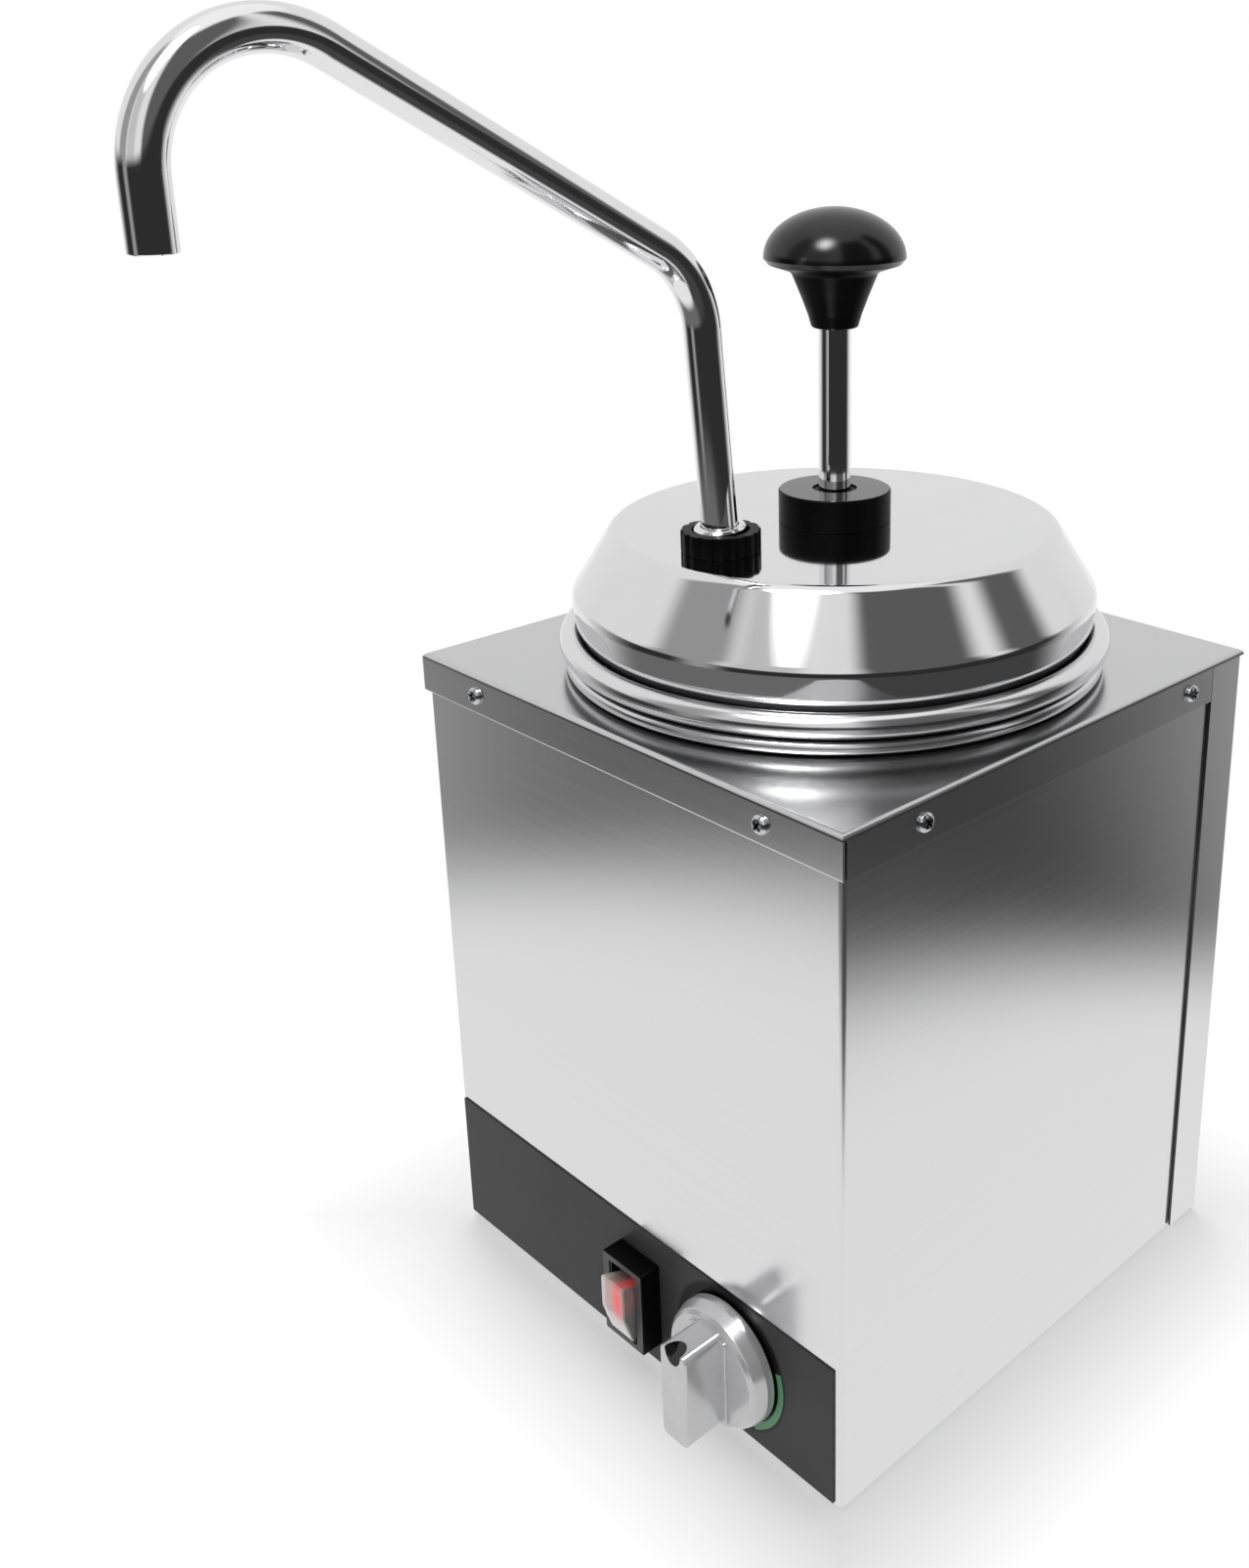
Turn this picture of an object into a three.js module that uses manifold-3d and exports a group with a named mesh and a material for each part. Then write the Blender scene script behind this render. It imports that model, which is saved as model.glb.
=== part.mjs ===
import * as THREE from "three";
import { mergeVertices } from "three/addons/utils/BufferGeometryUtils.js";
import Module from "manifold-3d";

const wasm = await Module();
wasm.setup();

// Heated sauce dispenser in millimetres with Z up.
// The origin is the centre of the base plate's underside, and the controls face -Y.

// Driving dimensions of the casing
const bodyWidth = 220;
const bodyHeight = 251.6;
const sheet = 1;

// Gaps between separate pieces
const fitGap = 0.3;
const seatGap = 0.05;
const overrun = 1;
const weldDistance = 0.0001;

// Top cover
const coverFlange = 15.2;
const coverBend = 2;
const coverFit = 0.2;
const coverSlit = 0.7;

// Cover screws
const screwDrop = 7.8;
const frontScrewInset = 34.5;
const sideScrewInset = 36;
const screwHeadRadius = 3.3;
const screwHeadHeight = 1.9;
const screwShankRadius = 1.6;
const screwShankLength = 7;
const screwRecessSpan = 3.9;
const screwRecessWidth = 0.9;
const screwRecessDepth = 1;

// Folded front and side sheet, and the rear panel that closes it
const wrapBend = 2;
const rearReturn = 20;
const rearLap = 5;
const rearVentLength = 36;
const rearVentWidth = 4;
const rearVentPitch = 12;
const rearVentCount = 5;
const rearVentZ = 181;
const rearVentOffset = 26;

// Base plate and its push-in feet
const trayFlange = 10;
const trayBend = 2.4;
const baseVentLength = 34;
const baseVentWidth = 4;
const baseVentPitch = 13;
const baseVentCount = 4;
const baseVentOffset = 55;
const footRadius = 11;
const footTaper = 1;
const footHeight = 3;
const footInset = 28;
const footNeckRadius = 3.2;
const footBarbRadius = 4.4;
const footBarbHeight = 2.6;

// Dark film on the front
const filmThickness = 0.6;
const filmTop = 56;
const filmBottom = 0.6;
const filmLeftInset = 1.8;
const filmRightInset = 3.2;

// Power switch
const switchSpacing = 48.8;
const switchZ = 27.9;
const bezelWidth = 22.2;
const bezelHeight = 35.2;
const bezelStandOut = 8.9;
const bezelBevel = 0.7;
const switchBodyWidth = 18.6;
const switchBodyHeight = 30.4;
const switchBodyDepth = 17;
const rockerHollowWidth = 13.6;
const rockerHollowHeight = 28.6;
const rockerHollowDepth = 12;
const rockerWidth = 13;
const rockerHalfLength = 13.2;
const rockerProud = 5;
const rockerPivotDepth = 4;
const rockerTail = 4;
const rockerTailHalfLength = 7;
const rockerFaceAngle = THREE.MathUtils.degToRad(9);
const trunnionRadius = 1.6;
const trunnionReach = 1;

// Thermostat and its knob
const thermostatInset = 55;
const thermostatZ = 29.5;
const thermostatWidth = 34;
const thermostatHeight = 32;
const thermostatDepth = 26;
const thermostatBushRadius = 4.6;
const thermostatBushReach = 3;
const shaftRadius = 3;
const shaftReach = 17;
const shaftSink = 14;
const shaftFlatDepth = 1;
const skirtRadius = 23.7;
const skirtFaceRadius = 20.6;
const skirtStandOff = 0.8;
const skirtEdge = 4;
const skirtFace = 9.6;
const skirtShoulderShare = 0.75;
const skirtHollowRadius = 19;
const skirtHollowDepth = 5;
const gripWidth = 13.4;
const gripHalfLength = 19.2;
const gripStandOut = 26;
const gripCorner = 3;
const ledgeWidth = 18.6;
const ledgeHeight = 1.2;
const ledgeHalfLength = 17.5;
const pointerHollowRadius = 4;
const pointerHollowDepth = 4;

// Water well with its rolled rim
const wellDeckMargin = 9.4;
const wellBead = 2.75;
const vesselSheet = 0.8;
const wellFloorZ = 66;
const wellCorner = 10;
const studRadius = 3;
const studLength = 17;
const wellHoleFit = 0.5;
const rimRollEnd = THREE.MathUtils.degToRad(-100);

// Lift-out jar with its rolled rim
const jarRimOutset = 0.15;
const jarBead = 4.4;
const jarBodyInset = 12;
const jarShoulderDrop = 12;
const jarShoulderRise = 7;
const jarFloorZ = 78.8;
const jarCorner = 12;

// Lid, as heights above the deck and radii
const lidTopHeight = 51.9;
const lidConeRun = 15.3;
const lidFillet = 5;
const lidConeInset = 1;
const lidConeHeight = 27.5;
const lidSkirtInset = 3.8;
const lidSkirtTaper = 0.8;
const lidCurlHeight = 5.5;
const lidSheet = 1;
const lidSpigotGap = 0.8;
const lidSpigotHeight = 4;

// Heater, its clamp plate and the sensing bulb
const heaterInset = 35.85;
const heaterTube = 4;
const heaterLeadX = 10;
const heaterLeadBend = 9;
const heaterLeadLength = 24;
const heaterPlateBorder = 10;
const heaterPlateThickness = 1.5;
const heaterNutRadius = 5.8;
const heaterNutHeight = 4.6;
const bulbRadius = 3.2;
const bulbHalfLength = 34;
const bulbY = -20;
const capillaryRadius = 0.9;
const capillaryDropX = 47;
const capillaryBend = 6.4;
const capillaryDip = 9.6;
const capillaryHoleRadius = 1.8;

// Pump collar, cylinder and foot
const collarRadius = 20.6;
const collarHeight = 11.8;
const collarTopWall = 3.6;
const collarChamfer = 0.9;
const cylinderRadius = 16;
const cylinderBore = 14;
const cylinderFlangeRadius = 21;
const cylinderFlangeHeight = 4;
const gasketThickness = 1.5;
const bushFlangeHeight = 2.4;
const bushLength = 9;
const footClearance = 4;
const cupRadius = 19;
const cupWall = 5;
const inletSeatHeight = 7;
const inletSeatBore = 4.5;
const inletBallRadius = 6.5;
const inletChamberRadius = 9;
const ballLift = 3;
const ballPinRadius = 1;
const cupSocketDepth = 15;
const armWidth = 17;
const armHeight = 15;
const armPassageRadius = 3.5;
const bossRadius = 11.5;
const outletSeatBore = 4;
const outletBallRadius = 5.6;
const outletBallLift = 2.5;
const outletChamberRadius = 6.2;
const bossSocketDepth = 12;
const sealBead = 1.2;
const sealGrooveDepth = 3;

// Plunger
const rodRadius = 5.85;
const rodExposed = 58.6;
const plungerStroke = 58;
const pistonHeight = 18;
const pistonGrooveDepth = 1.8;
const pistonGrooveHeight = 3;
const pistonSocketDepth = 12;
const knobSocketLength = 15;
const neckFootRadius = 8.25;
const neckFootRound = 1.2;
const neckTopRadius = 15.55;
const neckHeight = 19.6;
const neckWaistShare = 0.55;
const capRimRadius = 25.2;
const capRimRise = 3.1;
const capRimRound = 1.6;
const knobHeight = 41.8;

// Return spring under the piston
const springCompressed = 20;
const springRadius = 11.3;
const springWire = 1;
const springTurns = 6;
const springStepsPerTurn = 8;
const springSides = 4;

// Spout tube in the plane X = 0
const tubeRadius = 6.35;
const tubeBore = 5.15;
const riserFootOffset = 38.26;
const spoutNutInset = 12;
const tubeSlope = THREE.MathUtils.degToRad(28.9);
const tubeElbowHeight = 147;
const tubeBendRadius = 35;
const tubeEndY = -240.4;
const tubeEndHeight = 167;
const tubeSides = 14;
const tubeBoreSides = 8;

// Ferrule, nut and lock ring that hold the tube in the lid
const ferruleRadius = 8.6;
const ferruleFlangeRadius = 9.4;
const ferruleFlangeHeight = 1.5;
const ferruleBelow = 9;
const spoutNutRadius = 13.8;
const spoutNutHeight = 7.6;
const spoutNutRibDepth = 0.7;
const spoutNutRibs = 16;
const spoutNutRibShares = [0, 0.5, 0.6, 0.9];
const lockRingRadius = 13;
const lockRingHeight = 4;

// Rear cord inlet, terminal block and wiring
const glandInset = 48;
const glandZ = 34;
const glandBore = 3.8;
const glandBodyRadius = 6;
const glandFlangeRadius = 10;
const glandFlangeHeight = 4;
const glandDomeRadius = 8.6;
const glandDomeHeight = 12;
const glandTipRadius = 6;
const glandInside = 11;
const glandNutRadius = 10;
const glandNutHeight = 4;
const blockX = -28;
const blockInset = 23.8;
const blockWidth = 40;
const blockDepth = 20;
const blockHeight = 15;
const blockScrewRadius = 2.2;
const blockScrewDepth = 5;
const blockPoles = 3;
const wireRadius = 1.3;
const wireSides = 5;
const wireSlack = 13;

// Facets of round forms
const vesselSteps = 32;
const knobSteps = 24;
const roundSteps = 16;
const smallSteps = 12;
const tinySteps = 8;
const bendSteps = 2;
const rimInnerSteps = 3;
const rimOuterSteps = 7;
const filletSteps = 2;
const domeSteps = 4;
const elbowSteps = 6;
const crookSteps = 11;
const heaterSteps = 20;
const leadSteps = 3;
const heaterSides = 6;
const sealSides = 6;
const wireSteps = 12;
const capillarySteps = 16;
const quarterTurn = Math.PI / 2;
const halfTurn = Math.PI;

// Heights and places that follow from the values above
const coverHalf = bodyWidth / 2;
const wrapHalf = coverHalf - sheet - coverFit;
const deckZ = bodyHeight;
const thermostatX = coverHalf - thermostatInset;
const switchX = thermostatX - switchSpacing;
const glandX = glandInset - coverHalf;
const wrapTopZ = deckZ - coverBend;
const innerHalf = wrapHalf - sheet;
const seamY = wrapHalf - rearReturn;
const blockY = innerHalf - blockInset;
const screwZ = deckZ - screwDrop;
const screwHoleRadius = screwShankRadius + fitGap;
const filmY = -wrapHalf - seatGap - filmThickness;
const wellRimRadius = coverHalf - wellDeckMargin - wellBead;
const jarRimRadius = wellRimRadius + jarRimOutset;
const jarBodyRadius = jarRimRadius - jarBodyInset;
const lidConeRadius = jarRimRadius - lidConeInset;
const lidSkirtRadius = jarRimRadius - lidSkirtInset;
const lidTopRadius = lidConeRadius - lidConeRun;
const heaterRadius = wellRimRadius - heaterInset;
const heaterLeadEnd = heaterRadius + heaterLeadLength;
const heaterPlateRadius = heaterRadius + heaterPlateBorder;
const lidTopZ = deckZ + lidTopHeight;
const lidUnderZ = lidTopZ - lidSheet;
const collarTopZ = lidTopZ + seatGap + collarHeight;
const cylinderTopZ = collarTopZ - collarTopWall - bushFlangeHeight - 2 * seatGap;
const gasketTopZ = lidUnderZ - seatGap;
const flangeTopZ = gasketTopZ - gasketThickness - seatGap;
const cupFootZ = jarFloorZ + vesselSheet + footClearance;
const inletSeatZ = cupFootZ + inletSeatHeight;
const inletBallZ = inletSeatZ + Math.sqrt(inletBallRadius ** 2 - inletSeatBore ** 2) + fitGap;
const tubeAtLidY = spoutNutInset + spoutNutRadius - lidTopRadius;
const tubeLean = Math.atan2(-tubeAtLidY - riserFootOffset, lidTopZ - inletBallZ);
const spoutNutBore = ferruleFlangeRadius + fitGap + Math.tan(tubeLean) * spoutNutHeight / 2;
const ballPinZ = inletBallZ + inletBallRadius + ballLift + fitGap + ballPinRadius;
const cupSocketZ = ballPinZ + ballPinRadius + fitGap;
const cupTopZ = cupSocketZ + cupSocketDepth;
const cylinderFootZ = cupSocketZ + fitGap;
const springFootZ = cylinderFootZ;
const pistonFootZ = springFootZ + springCompressed + plungerStroke + fitGap;
const knobFootZ = collarTopZ + rodExposed;
const wellRimZ = deckZ + 2 * seatGap + wellBead;
const jarRimZ = wellRimZ + wellBead + fitGap + jarBead;
const jarNeckRadius = jarRimRadius - jarBead;
const lidSeatZ = jarRimZ + Math.sqrt(jarBead ** 2 - (jarRimRadius - lidSkirtRadius) ** 2) + fitGap;
const heaterZ = wellFloorZ - fitGap - heaterTube;
const heaterPlateZ = heaterZ - heaterTube - fitGap - heaterPlateThickness;
const bulbZ = wellFloorZ - fitGap - bulbRadius;

// Materials with the object's colours
function finish(color, roughness, metalness) {
  return new THREE.MeshStandardMaterial({ color, roughness, metalness });
}
const brushedSteel = finish(0xc4c5c6, 0.36, 1);
const polishedSteel = finish(0xdcdddf, 0.1, 1);
const chrome = finish(0xe2e3e5, 0.05, 1);
const darkFilm = finish(0x4b4b4d, 0.42, 0);
const blackPlastic = finish(0x0d0d0e, 0.3, 0);
const blackRubber = finish(0x161617, 0.75, 0);
const greyPlastic = finish(0x8d8f91, 0.5, 0);
const paleLens = finish(0xe9d9d4, 0.2, 0);
const satinSilver = finish(0xc9c9cc, 0.3, 0.85);
const zincSteel = finish(0xa9abad, 0.4, 1);
const brass = finish(0xb08d45, 0.35, 1);
const wirePaint = finish(0x6b2a22, 0.6, 0);

const dispenser = new THREE.Group();

function addPiece(name, geometry, material) {
  const piece = new THREE.Mesh(geometry, material);
  piece.name = name;
  dispenser.add(piece);
  return piece;
}

// Closed meshes, cuts and joins
function welded(geometry) {
  const bare = geometry.clone();
  bare.deleteAttribute("normal");
  bare.deleteAttribute("uv");
  const merged = mergeVertices(bare, weldDistance);
  const corners = merged.index.array;
  const kept = [];
  for (let i = 0; i < corners.length; i += 3) {
    const [a, b, c] = corners.slice(i, i + 3);
    if (a !== b && b !== c && c !== a) kept.push(a, b, c);
  }
  merged.setIndex(kept);
  return merged;
}

function toSolid(geometry) {
  const closed = welded(geometry);
  return new wasm.Manifold(new wasm.Mesh({
    numProp: 3,
    vertProperties: closed.attributes.position.array,
    triVerts: new Uint32Array(closed.index.array),
  }));
}

function toGeometry(solid) {
  const mesh = solid.getMesh();
  const geometry = new THREE.BufferGeometry();
  geometry.setAttribute("position", new THREE.BufferAttribute(mesh.vertProperties, 3));
  geometry.setIndex(new THREE.BufferAttribute(mesh.triVerts, 1));
  return geometry;
}

function cut(base, ...tools) {
  return toGeometry(tools.reduce((solid, tool) => solid.subtract(toSolid(tool)), toSolid(base)));
}

function joined(base, ...others) {
  return toGeometry(others.reduce((solid, other) => solid.add(toSolid(other)), toSolid(base)));
}

function common(base, other) {
  return toGeometry(toSolid(base).intersect(toSolid(other)));
}

// Plain forms, standing on Z unless a name says otherwise
function block(x0, x1, y0, y1, z0, z1) {
  const box = new THREE.BoxGeometry(x1 - x0, y1 - y0, z1 - z0);
  return box.translate((x0 + x1) / 2, (y0 + y1) / 2, (z0 + z1) / 2);
}

function cylinder(radius, z0, z1, steps = roundSteps) {
  const round = new THREE.CylinderGeometry(radius, radius, z1 - z0, steps);
  return round.rotateX(quarterTurn).translate(0, 0, (z0 + z1) / 2);
}

function cylinderAlongX(radius, halfLength, steps = smallSteps) {
  return cylinder(radius, -halfLength, halfLength, steps).rotateY(quarterTurn);
}

function cylinderAlongY(radius, y0, y1, steps = smallSteps) {
  const round = new THREE.CylinderGeometry(radius, radius, y1 - y0, steps);
  return round.translate(0, (y0 + y1) / 2, 0);
}

function turned(profile, steps = roundSteps) {
  const points = profile.map(([radius, height]) => new THREE.Vector2(radius, height));
  return new THREE.LatheGeometry(points, steps).rotateX(quarterTurn);
}

function ring(inner, outer, z0, z1, steps = roundSteps) {
  return turned([[inner, z0], [outer, z0], [outer, z1], [inner, z1], [inner, z0]], steps);
}

function bead(radius, tube, height, steps, sides) {
  const profile = [];
  for (let i = 0; i < sides; i += 1) {
    const angle = 2 * halfTurn * i / sides;
    profile.push([radius + tube * Math.cos(angle), height + tube * Math.sin(angle)]);
  }
  profile.push(profile[0]);
  return turned(profile, steps);
}

function arc(centreX, centreY, radius, from, to, steps) {
  const points = [];
  for (let i = 0; i <= steps; i += 1) {
    const angle = from + (to - from) * i / steps;
    points.push([centreX + radius * Math.cos(angle), centreY + radius * Math.sin(angle)]);
  }
  return points;
}

function outline(points) {
  return new THREE.Shape(points.map(([x, y]) => new THREE.Vector2(x, y)));
}

function raised(shape, z0, z1) {
  const options = { depth: z1 - z0, bevelEnabled: false, curveSegments: bendSteps };
  return new THREE.ExtrudeGeometry(shape, options).translate(0, 0, z0);
}

function roundedRectangle(halfX, halfY, radius, steps = bendSteps) {
  return outline([
    ...arc(halfX - radius, halfY - radius, radius, 0, quarterTurn, steps),
    ...arc(radius - halfX, halfY - radius, radius, quarterTurn, halfTurn, steps),
    ...arc(radius - halfX, radius - halfY, radius, halfTurn, 3 * quarterTurn, steps),
    ...arc(halfX - radius, radius - halfY, radius, 3 * quarterTurn, 4 * quarterTurn, steps),
  ]);
}

function hexagon(radius, z0, z1) {
  return cylinder(radius, z0, z1, 6);
}

// A flat drawing of the front becomes upright, its depth running outwards along -Y
function facingFront(geometry) {
  return geometry.rotateX(quarterTurn);
}

// A tube's path as stations, so that straight runs take one step and bends take several
class StationPath extends THREE.Curve {
  constructor(stations) {
    super();
    this.stations = stations;
  }

  stationAt(share) {
    return this.stations[Math.round(share * (this.stations.length - 1))];
  }

  getPointAt(share, target = new THREE.Vector3()) {
    return target.copy(this.stationAt(share).point);
  }

  getTangentAt(share, target = new THREE.Vector3()) {
    return target.copy(this.stationAt(share).tangent);
  }
}

function station(point, tangent) {
  return { point, tangent: tangent.clone().normalize() };
}

function arcStations(centre, from, to, radius, start, end, steps) {
  const stations = [];
  const turn = Math.sign(end - start);
  for (let i = 0; i <= steps; i += 1) {
    const angle = start + (end - start) * i / steps;
    const cosine = Math.cos(angle);
    const sine = Math.sin(angle);
    const outward = from.clone().multiplyScalar(cosine).addScaledVector(to, sine);
    const along = to.clone().multiplyScalar(turn * cosine).addScaledVector(from, -turn * sine);
    stations.push(station(centre.clone().addScaledVector(outward, radius), along));
  }
  return stations;
}

function circlePath(radius, sides) {
  return outline(arc(0, 0, radius, 0, 2 * halfTurn * (sides - 1) / sides, sides - 1));
}

function alongPath(shape, extrudePath, steps) {
  return new THREE.ExtrudeGeometry(shape, { steps, extrudePath, bevelEnabled: false });
}

function swept(stations, shape) {
  return alongPath(shape, new StationPath(stations), stations.length - 1);
}

function routed(points, radius, steps) {
  const corners = points.map(([x, y, z]) => new THREE.Vector3(x, y, z));
  const curve = new THREE.CatmullRomCurve3(corners, false, "centripetal");
  return alongPath(circlePath(radius, wireSides), curve, steps);
}

// The places of the cover's screws, each with the turn that faces its head outwards
function screwPlaces() {
  const places = [];
  const frontX = coverHalf - frontScrewInset;
  const sideY = coverHalf - sideScrewInset;
  for (const side of [-1, 1]) {
    places.push({ x: side * frontX, y: -coverHalf, turn: 0 });
    places.push({ x: coverHalf, y: side * sideY, turn: quarterTurn });
    places.push({ x: -side * frontX, y: coverHalf, turn: halfTurn });
    places.push({ x: -coverHalf, y: -side * sideY, turn: -quarterTurn });
  }
  return places;
}

function screwHoles() {
  return screwPlaces().map(({ x, y, turn }) => {
    const hole = cylinderAlongY(screwHoleRadius, -overrun, coverFit + 2 * sheet + overrun, tinySteps);
    return hole.rotateZ(turn).translate(x, y, screwZ);
  });
}

function coverShell(half, topZ, bend, footZ) {
  const profile = outline([
    [half, footZ],
    ...arc(half - bend, topZ - bend, bend, 0, quarterTurn, bendSteps),
    ...arc(bend - half, topZ - bend, bend, quarterTurn, halfTurn, bendSteps),
    [-half, footZ],
  ]);
  const alongY = raised(profile, -coverHalf - overrun, coverHalf + overrun).rotateX(quarterTurn);
  return common(alongY, alongY.clone().rotateZ(quarterTurn));
}

function topCover() {
  const footZ = deckZ - coverFlange;
  const outer = coverShell(coverHalf, deckZ, coverBend, footZ);
  const inner = coverShell(coverHalf - sheet, deckZ - sheet, coverBend - sheet, footZ - overrun);
  const wellHoleRadius = wellRimRadius - wellBead + vesselSheet + wellHoleFit;
  const wellHole = cylinder(wellHoleRadius, footZ, deckZ + overrun, vesselSteps);
  const slitX = coverHalf - sheet;
  const reach = coverHalf + overrun;
  const bendFootZ = deckZ - coverBend;
  const slit = block(innerHalf, reach, -slitX, coverSlit - slitX, footZ - overrun, bendFootZ);
  const otherSlit = slit.clone().translate(-innerHalf - reach, 0, 0);
  const notch = block(innerHalf, reach, seamY - fitGap, reach, footZ - overrun, bendFootZ);
  const otherNotch = notch.clone().translate(-innerHalf - reach, 0, 0);
  return cut(outer, inner, wellHole, slit, otherSlit, notch, otherNotch, ...screwHoles());
}

function coverScrew() {
  const span = screwRecessSpan / 2;
  const width = screwRecessWidth / 2;
  const floor = screwHeadHeight - screwRecessDepth;
  const head = turned([
    [0, -screwShankLength],
    [screwShankRadius, -screwShankLength],
    [screwShankRadius, 0],
    [screwHeadRadius, 0],
    [screwHeadRadius * Math.SQRT1_2, screwHeadHeight],
    [0, screwHeadHeight],
  ], tinySteps);
  const slot = block(-span, span, -width, width, floor, screwHeadHeight + overrun);
  return cut(head, slot, slot.clone().rotateZ(quarterTurn)).rotateX(quarterTurn);
}

// A sheet folded to a U in plan, open towards +Y
function foldedSheet(halfX, halfY, endY, bend) {
  const inside = bend - sheet;
  const bendX = halfX - bend;
  const bendY = bend - halfY;
  return outline([
    [-halfX, endY],
    ...arc(-bendX, bendY, bend, halfTurn, 3 * quarterTurn, bendSteps),
    ...arc(bendX, bendY, bend, 3 * quarterTurn, 4 * quarterTurn, bendSteps),
    [halfX, endY],
    [halfX - sheet, endY],
    ...arc(bendX, bendY, inside, 4 * quarterTurn, 3 * quarterTurn, bendSteps),
    ...arc(-bendX, bendY, inside, 3 * quarterTurn, halfTurn, bendSteps),
    [sheet - halfX, endY],
  ]);
}

function switchCutout(gap) {
  const halfX = switchBodyWidth / 2 + gap;
  const halfZ = switchBodyHeight / 2 + gap;
  const endY = -innerHalf + overrun;
  return block(switchX - halfX, switchX + halfX, filmY - overrun, endY, switchZ - halfZ, switchZ + halfZ);
}

function thermostatHole() {
  const hole = cylinderAlongY(thermostatBushRadius + fitGap, filmY - overrun, -innerHalf + overrun);
  return hole.translate(thermostatX, 0, thermostatZ);
}

function outerWrap() {
  const body = raised(foldedSheet(wrapHalf, wrapHalf, seamY + rearLap, wrapBend), 0, wrapTopZ);
  return cut(body, switchCutout(fitGap), thermostatHole(), ...screwHoles());
}

function ventSlots(length, width, pitch, count) {
  const halfLength = length / 2;
  const halfWidth = width / 2;
  const depth = sheet + overrun;
  const slots = [];
  for (let i = 0; i < count; i += 1) {
    const slot = block(-halfLength, halfLength, -halfWidth, halfWidth, -depth, depth);
    slots.push(slot.translate(0, (i - (count - 1) / 2) * pitch, 0));
  }
  return slots;
}

// The rear panel's sides lap over the folded sheet and lie flush with the top cover
function rearPanel() {
  const folded = foldedSheet(coverHalf, wrapHalf, -seamY, wrapBend);
  const body = raised(folded, 0, wrapTopZ - seatGap).rotateZ(halfTurn);
  const vents = [-1, 1].flatMap((side) => {
    const slots = ventSlots(rearVentLength, rearVentWidth, rearVentPitch, rearVentCount);
    const x = side * rearVentOffset;
    return slots.map((slot) => slot.rotateX(quarterTurn).translate(x, wrapHalf, rearVentZ));
  });
  const glandHole = cylinderAlongY(glandBodyRadius + fitGap, innerHalf - overrun, coverHalf);
  return cut(body, ...vents, glandHole.translate(glandX, 0, glandZ), ...screwHoles());
}

function footPlaces() {
  const place = wrapHalf - footInset;
  return [[-place, -place], [place, -place], [-place, place], [place, place]];
}

function basePlate() {
  const half = innerHalf - fitGap;
  const outer = raised(roundedRectangle(half, half, trayBend), 0, trayFlange);
  const insideHalf = half - sheet;
  const inside = roundedRectangle(insideHalf, insideHalf, trayBend - sheet);
  const holes = footPlaces().map(([x, y]) => {
    return cylinder(footNeckRadius + fitGap, -overrun, sheet + overrun, smallSteps).translate(x, y, 0);
  });
  const vents = [-1, 1].flatMap((side) => {
    const slots = ventSlots(baseVentLength, baseVentWidth, baseVentPitch, baseVentCount);
    return slots.map((slot) => slot.translate(side * baseVentOffset, 0, 0));
  });
  return cut(outer, raised(inside, sheet, trayFlange + overrun), ...holes, ...vents);
}

function pushInFoot() {
  const neckTop = sheet + fitGap;
  return turned([
    [0, -footHeight],
    [footRadius - footTaper, -footHeight],
    [footRadius, -seatGap],
    [footNeckRadius, -seatGap],
    [footNeckRadius, neckTop],
    [footBarbRadius, neckTop],
    [footNeckRadius, neckTop + footBarbHeight],
    [0, neckTop + footBarbHeight],
  ], smallSteps);
}

function controlPanel() {
  const left = filmLeftInset - wrapHalf;
  const right = wrapHalf - filmRightInset;
  const plate = block(left, right, filmY, filmY + filmThickness, filmBottom, filmTop);
  return cut(plate, switchCutout(fitGap), thermostatHole());
}

// The switch is drawn from the front with its centre at the origin, depth outwards from the film
function switchHousing() {
  const bezel = raised(roundedRectangle(bezelWidth / 2, bezelHeight / 2, bezelBevel), seatGap, bezelStandOut);
  const tail = -(filmThickness + sheet + seatGap + switchBodyDepth);
  const halfX = switchBodyWidth / 2;
  const halfZ = switchBodyHeight / 2;
  const body = block(-halfX, halfX, -halfZ, halfZ, tail, bezelStandOut / 2);
  const hollowX = rockerHollowWidth / 2;
  const hollowZ = rockerHollowHeight / 2;
  const hollowFloor = bezelStandOut - rockerHollowDepth;
  const hollow = block(-hollowX, hollowX, -hollowZ, hollowZ, hollowFloor, bezelStandOut + overrun);
  const pivot = cylinderAlongX(trunnionRadius + fitGap, hollowX + trunnionReach, tinySteps);
  pivot.translate(0, 0, bezelStandOut - rockerPivotDepth);
  return facingFront(cut(joined(bezel, body), hollow, pivot));
}

// The rocker is drawn from its side about its pivot, then tilted so that its lower end is pressed
function switchRocker() {
  const ridge = rockerPivotDepth + rockerProud;
  const end = ridge - rockerHalfLength * Math.tan(rockerFaceAngle);
  const profile = outline([
    [ridge, 0],
    [end, rockerHalfLength],
    [-rockerTail, rockerTailHalfLength],
    [-rockerTail, -rockerTailHalfLength],
    [end, -rockerHalfLength],
  ]);
  const body = raised(profile, -rockerWidth / 2, rockerWidth / 2).rotateY(-quarterTurn);
  const trunnion = cylinderAlongX(trunnionRadius, rockerWidth / 2 + trunnionReach, tinySteps);
  return joined(facingFront(body), trunnion).rotateX(rockerFaceAngle);
}

function thermostatBody() {
  const front = -innerHalf + seatGap;
  const halfX = thermostatWidth / 2;
  const halfZ = thermostatHeight / 2;
  const body = block(-halfX, halfX, front, front + thermostatDepth, -halfZ, halfZ);
  const bush = cylinderAlongY(thermostatBushRadius, filmY - thermostatBushReach, front + overrun);
  const bore = cylinderAlongY(shaftRadius + fitGap, filmY - thermostatBushReach - overrun, front + shaftSink);
  return cut(joined(body, bush), bore);
}

function thermostatShaft() {
  const tip = filmY - skirtStandOff - shaftReach;
  const root = -innerHalf + shaftSink - fitGap;
  const shaft = cylinderAlongY(shaftRadius, tip, root);
  const flatY = filmY - thermostatBushReach - fitGap;
  const flatZ = shaftRadius - shaftFlatDepth;
  const flat = block(-shaftRadius, shaftRadius, tip - overrun, flatY, flatZ, shaftRadius + overrun);
  return cut(shaft, flat);
}

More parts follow.
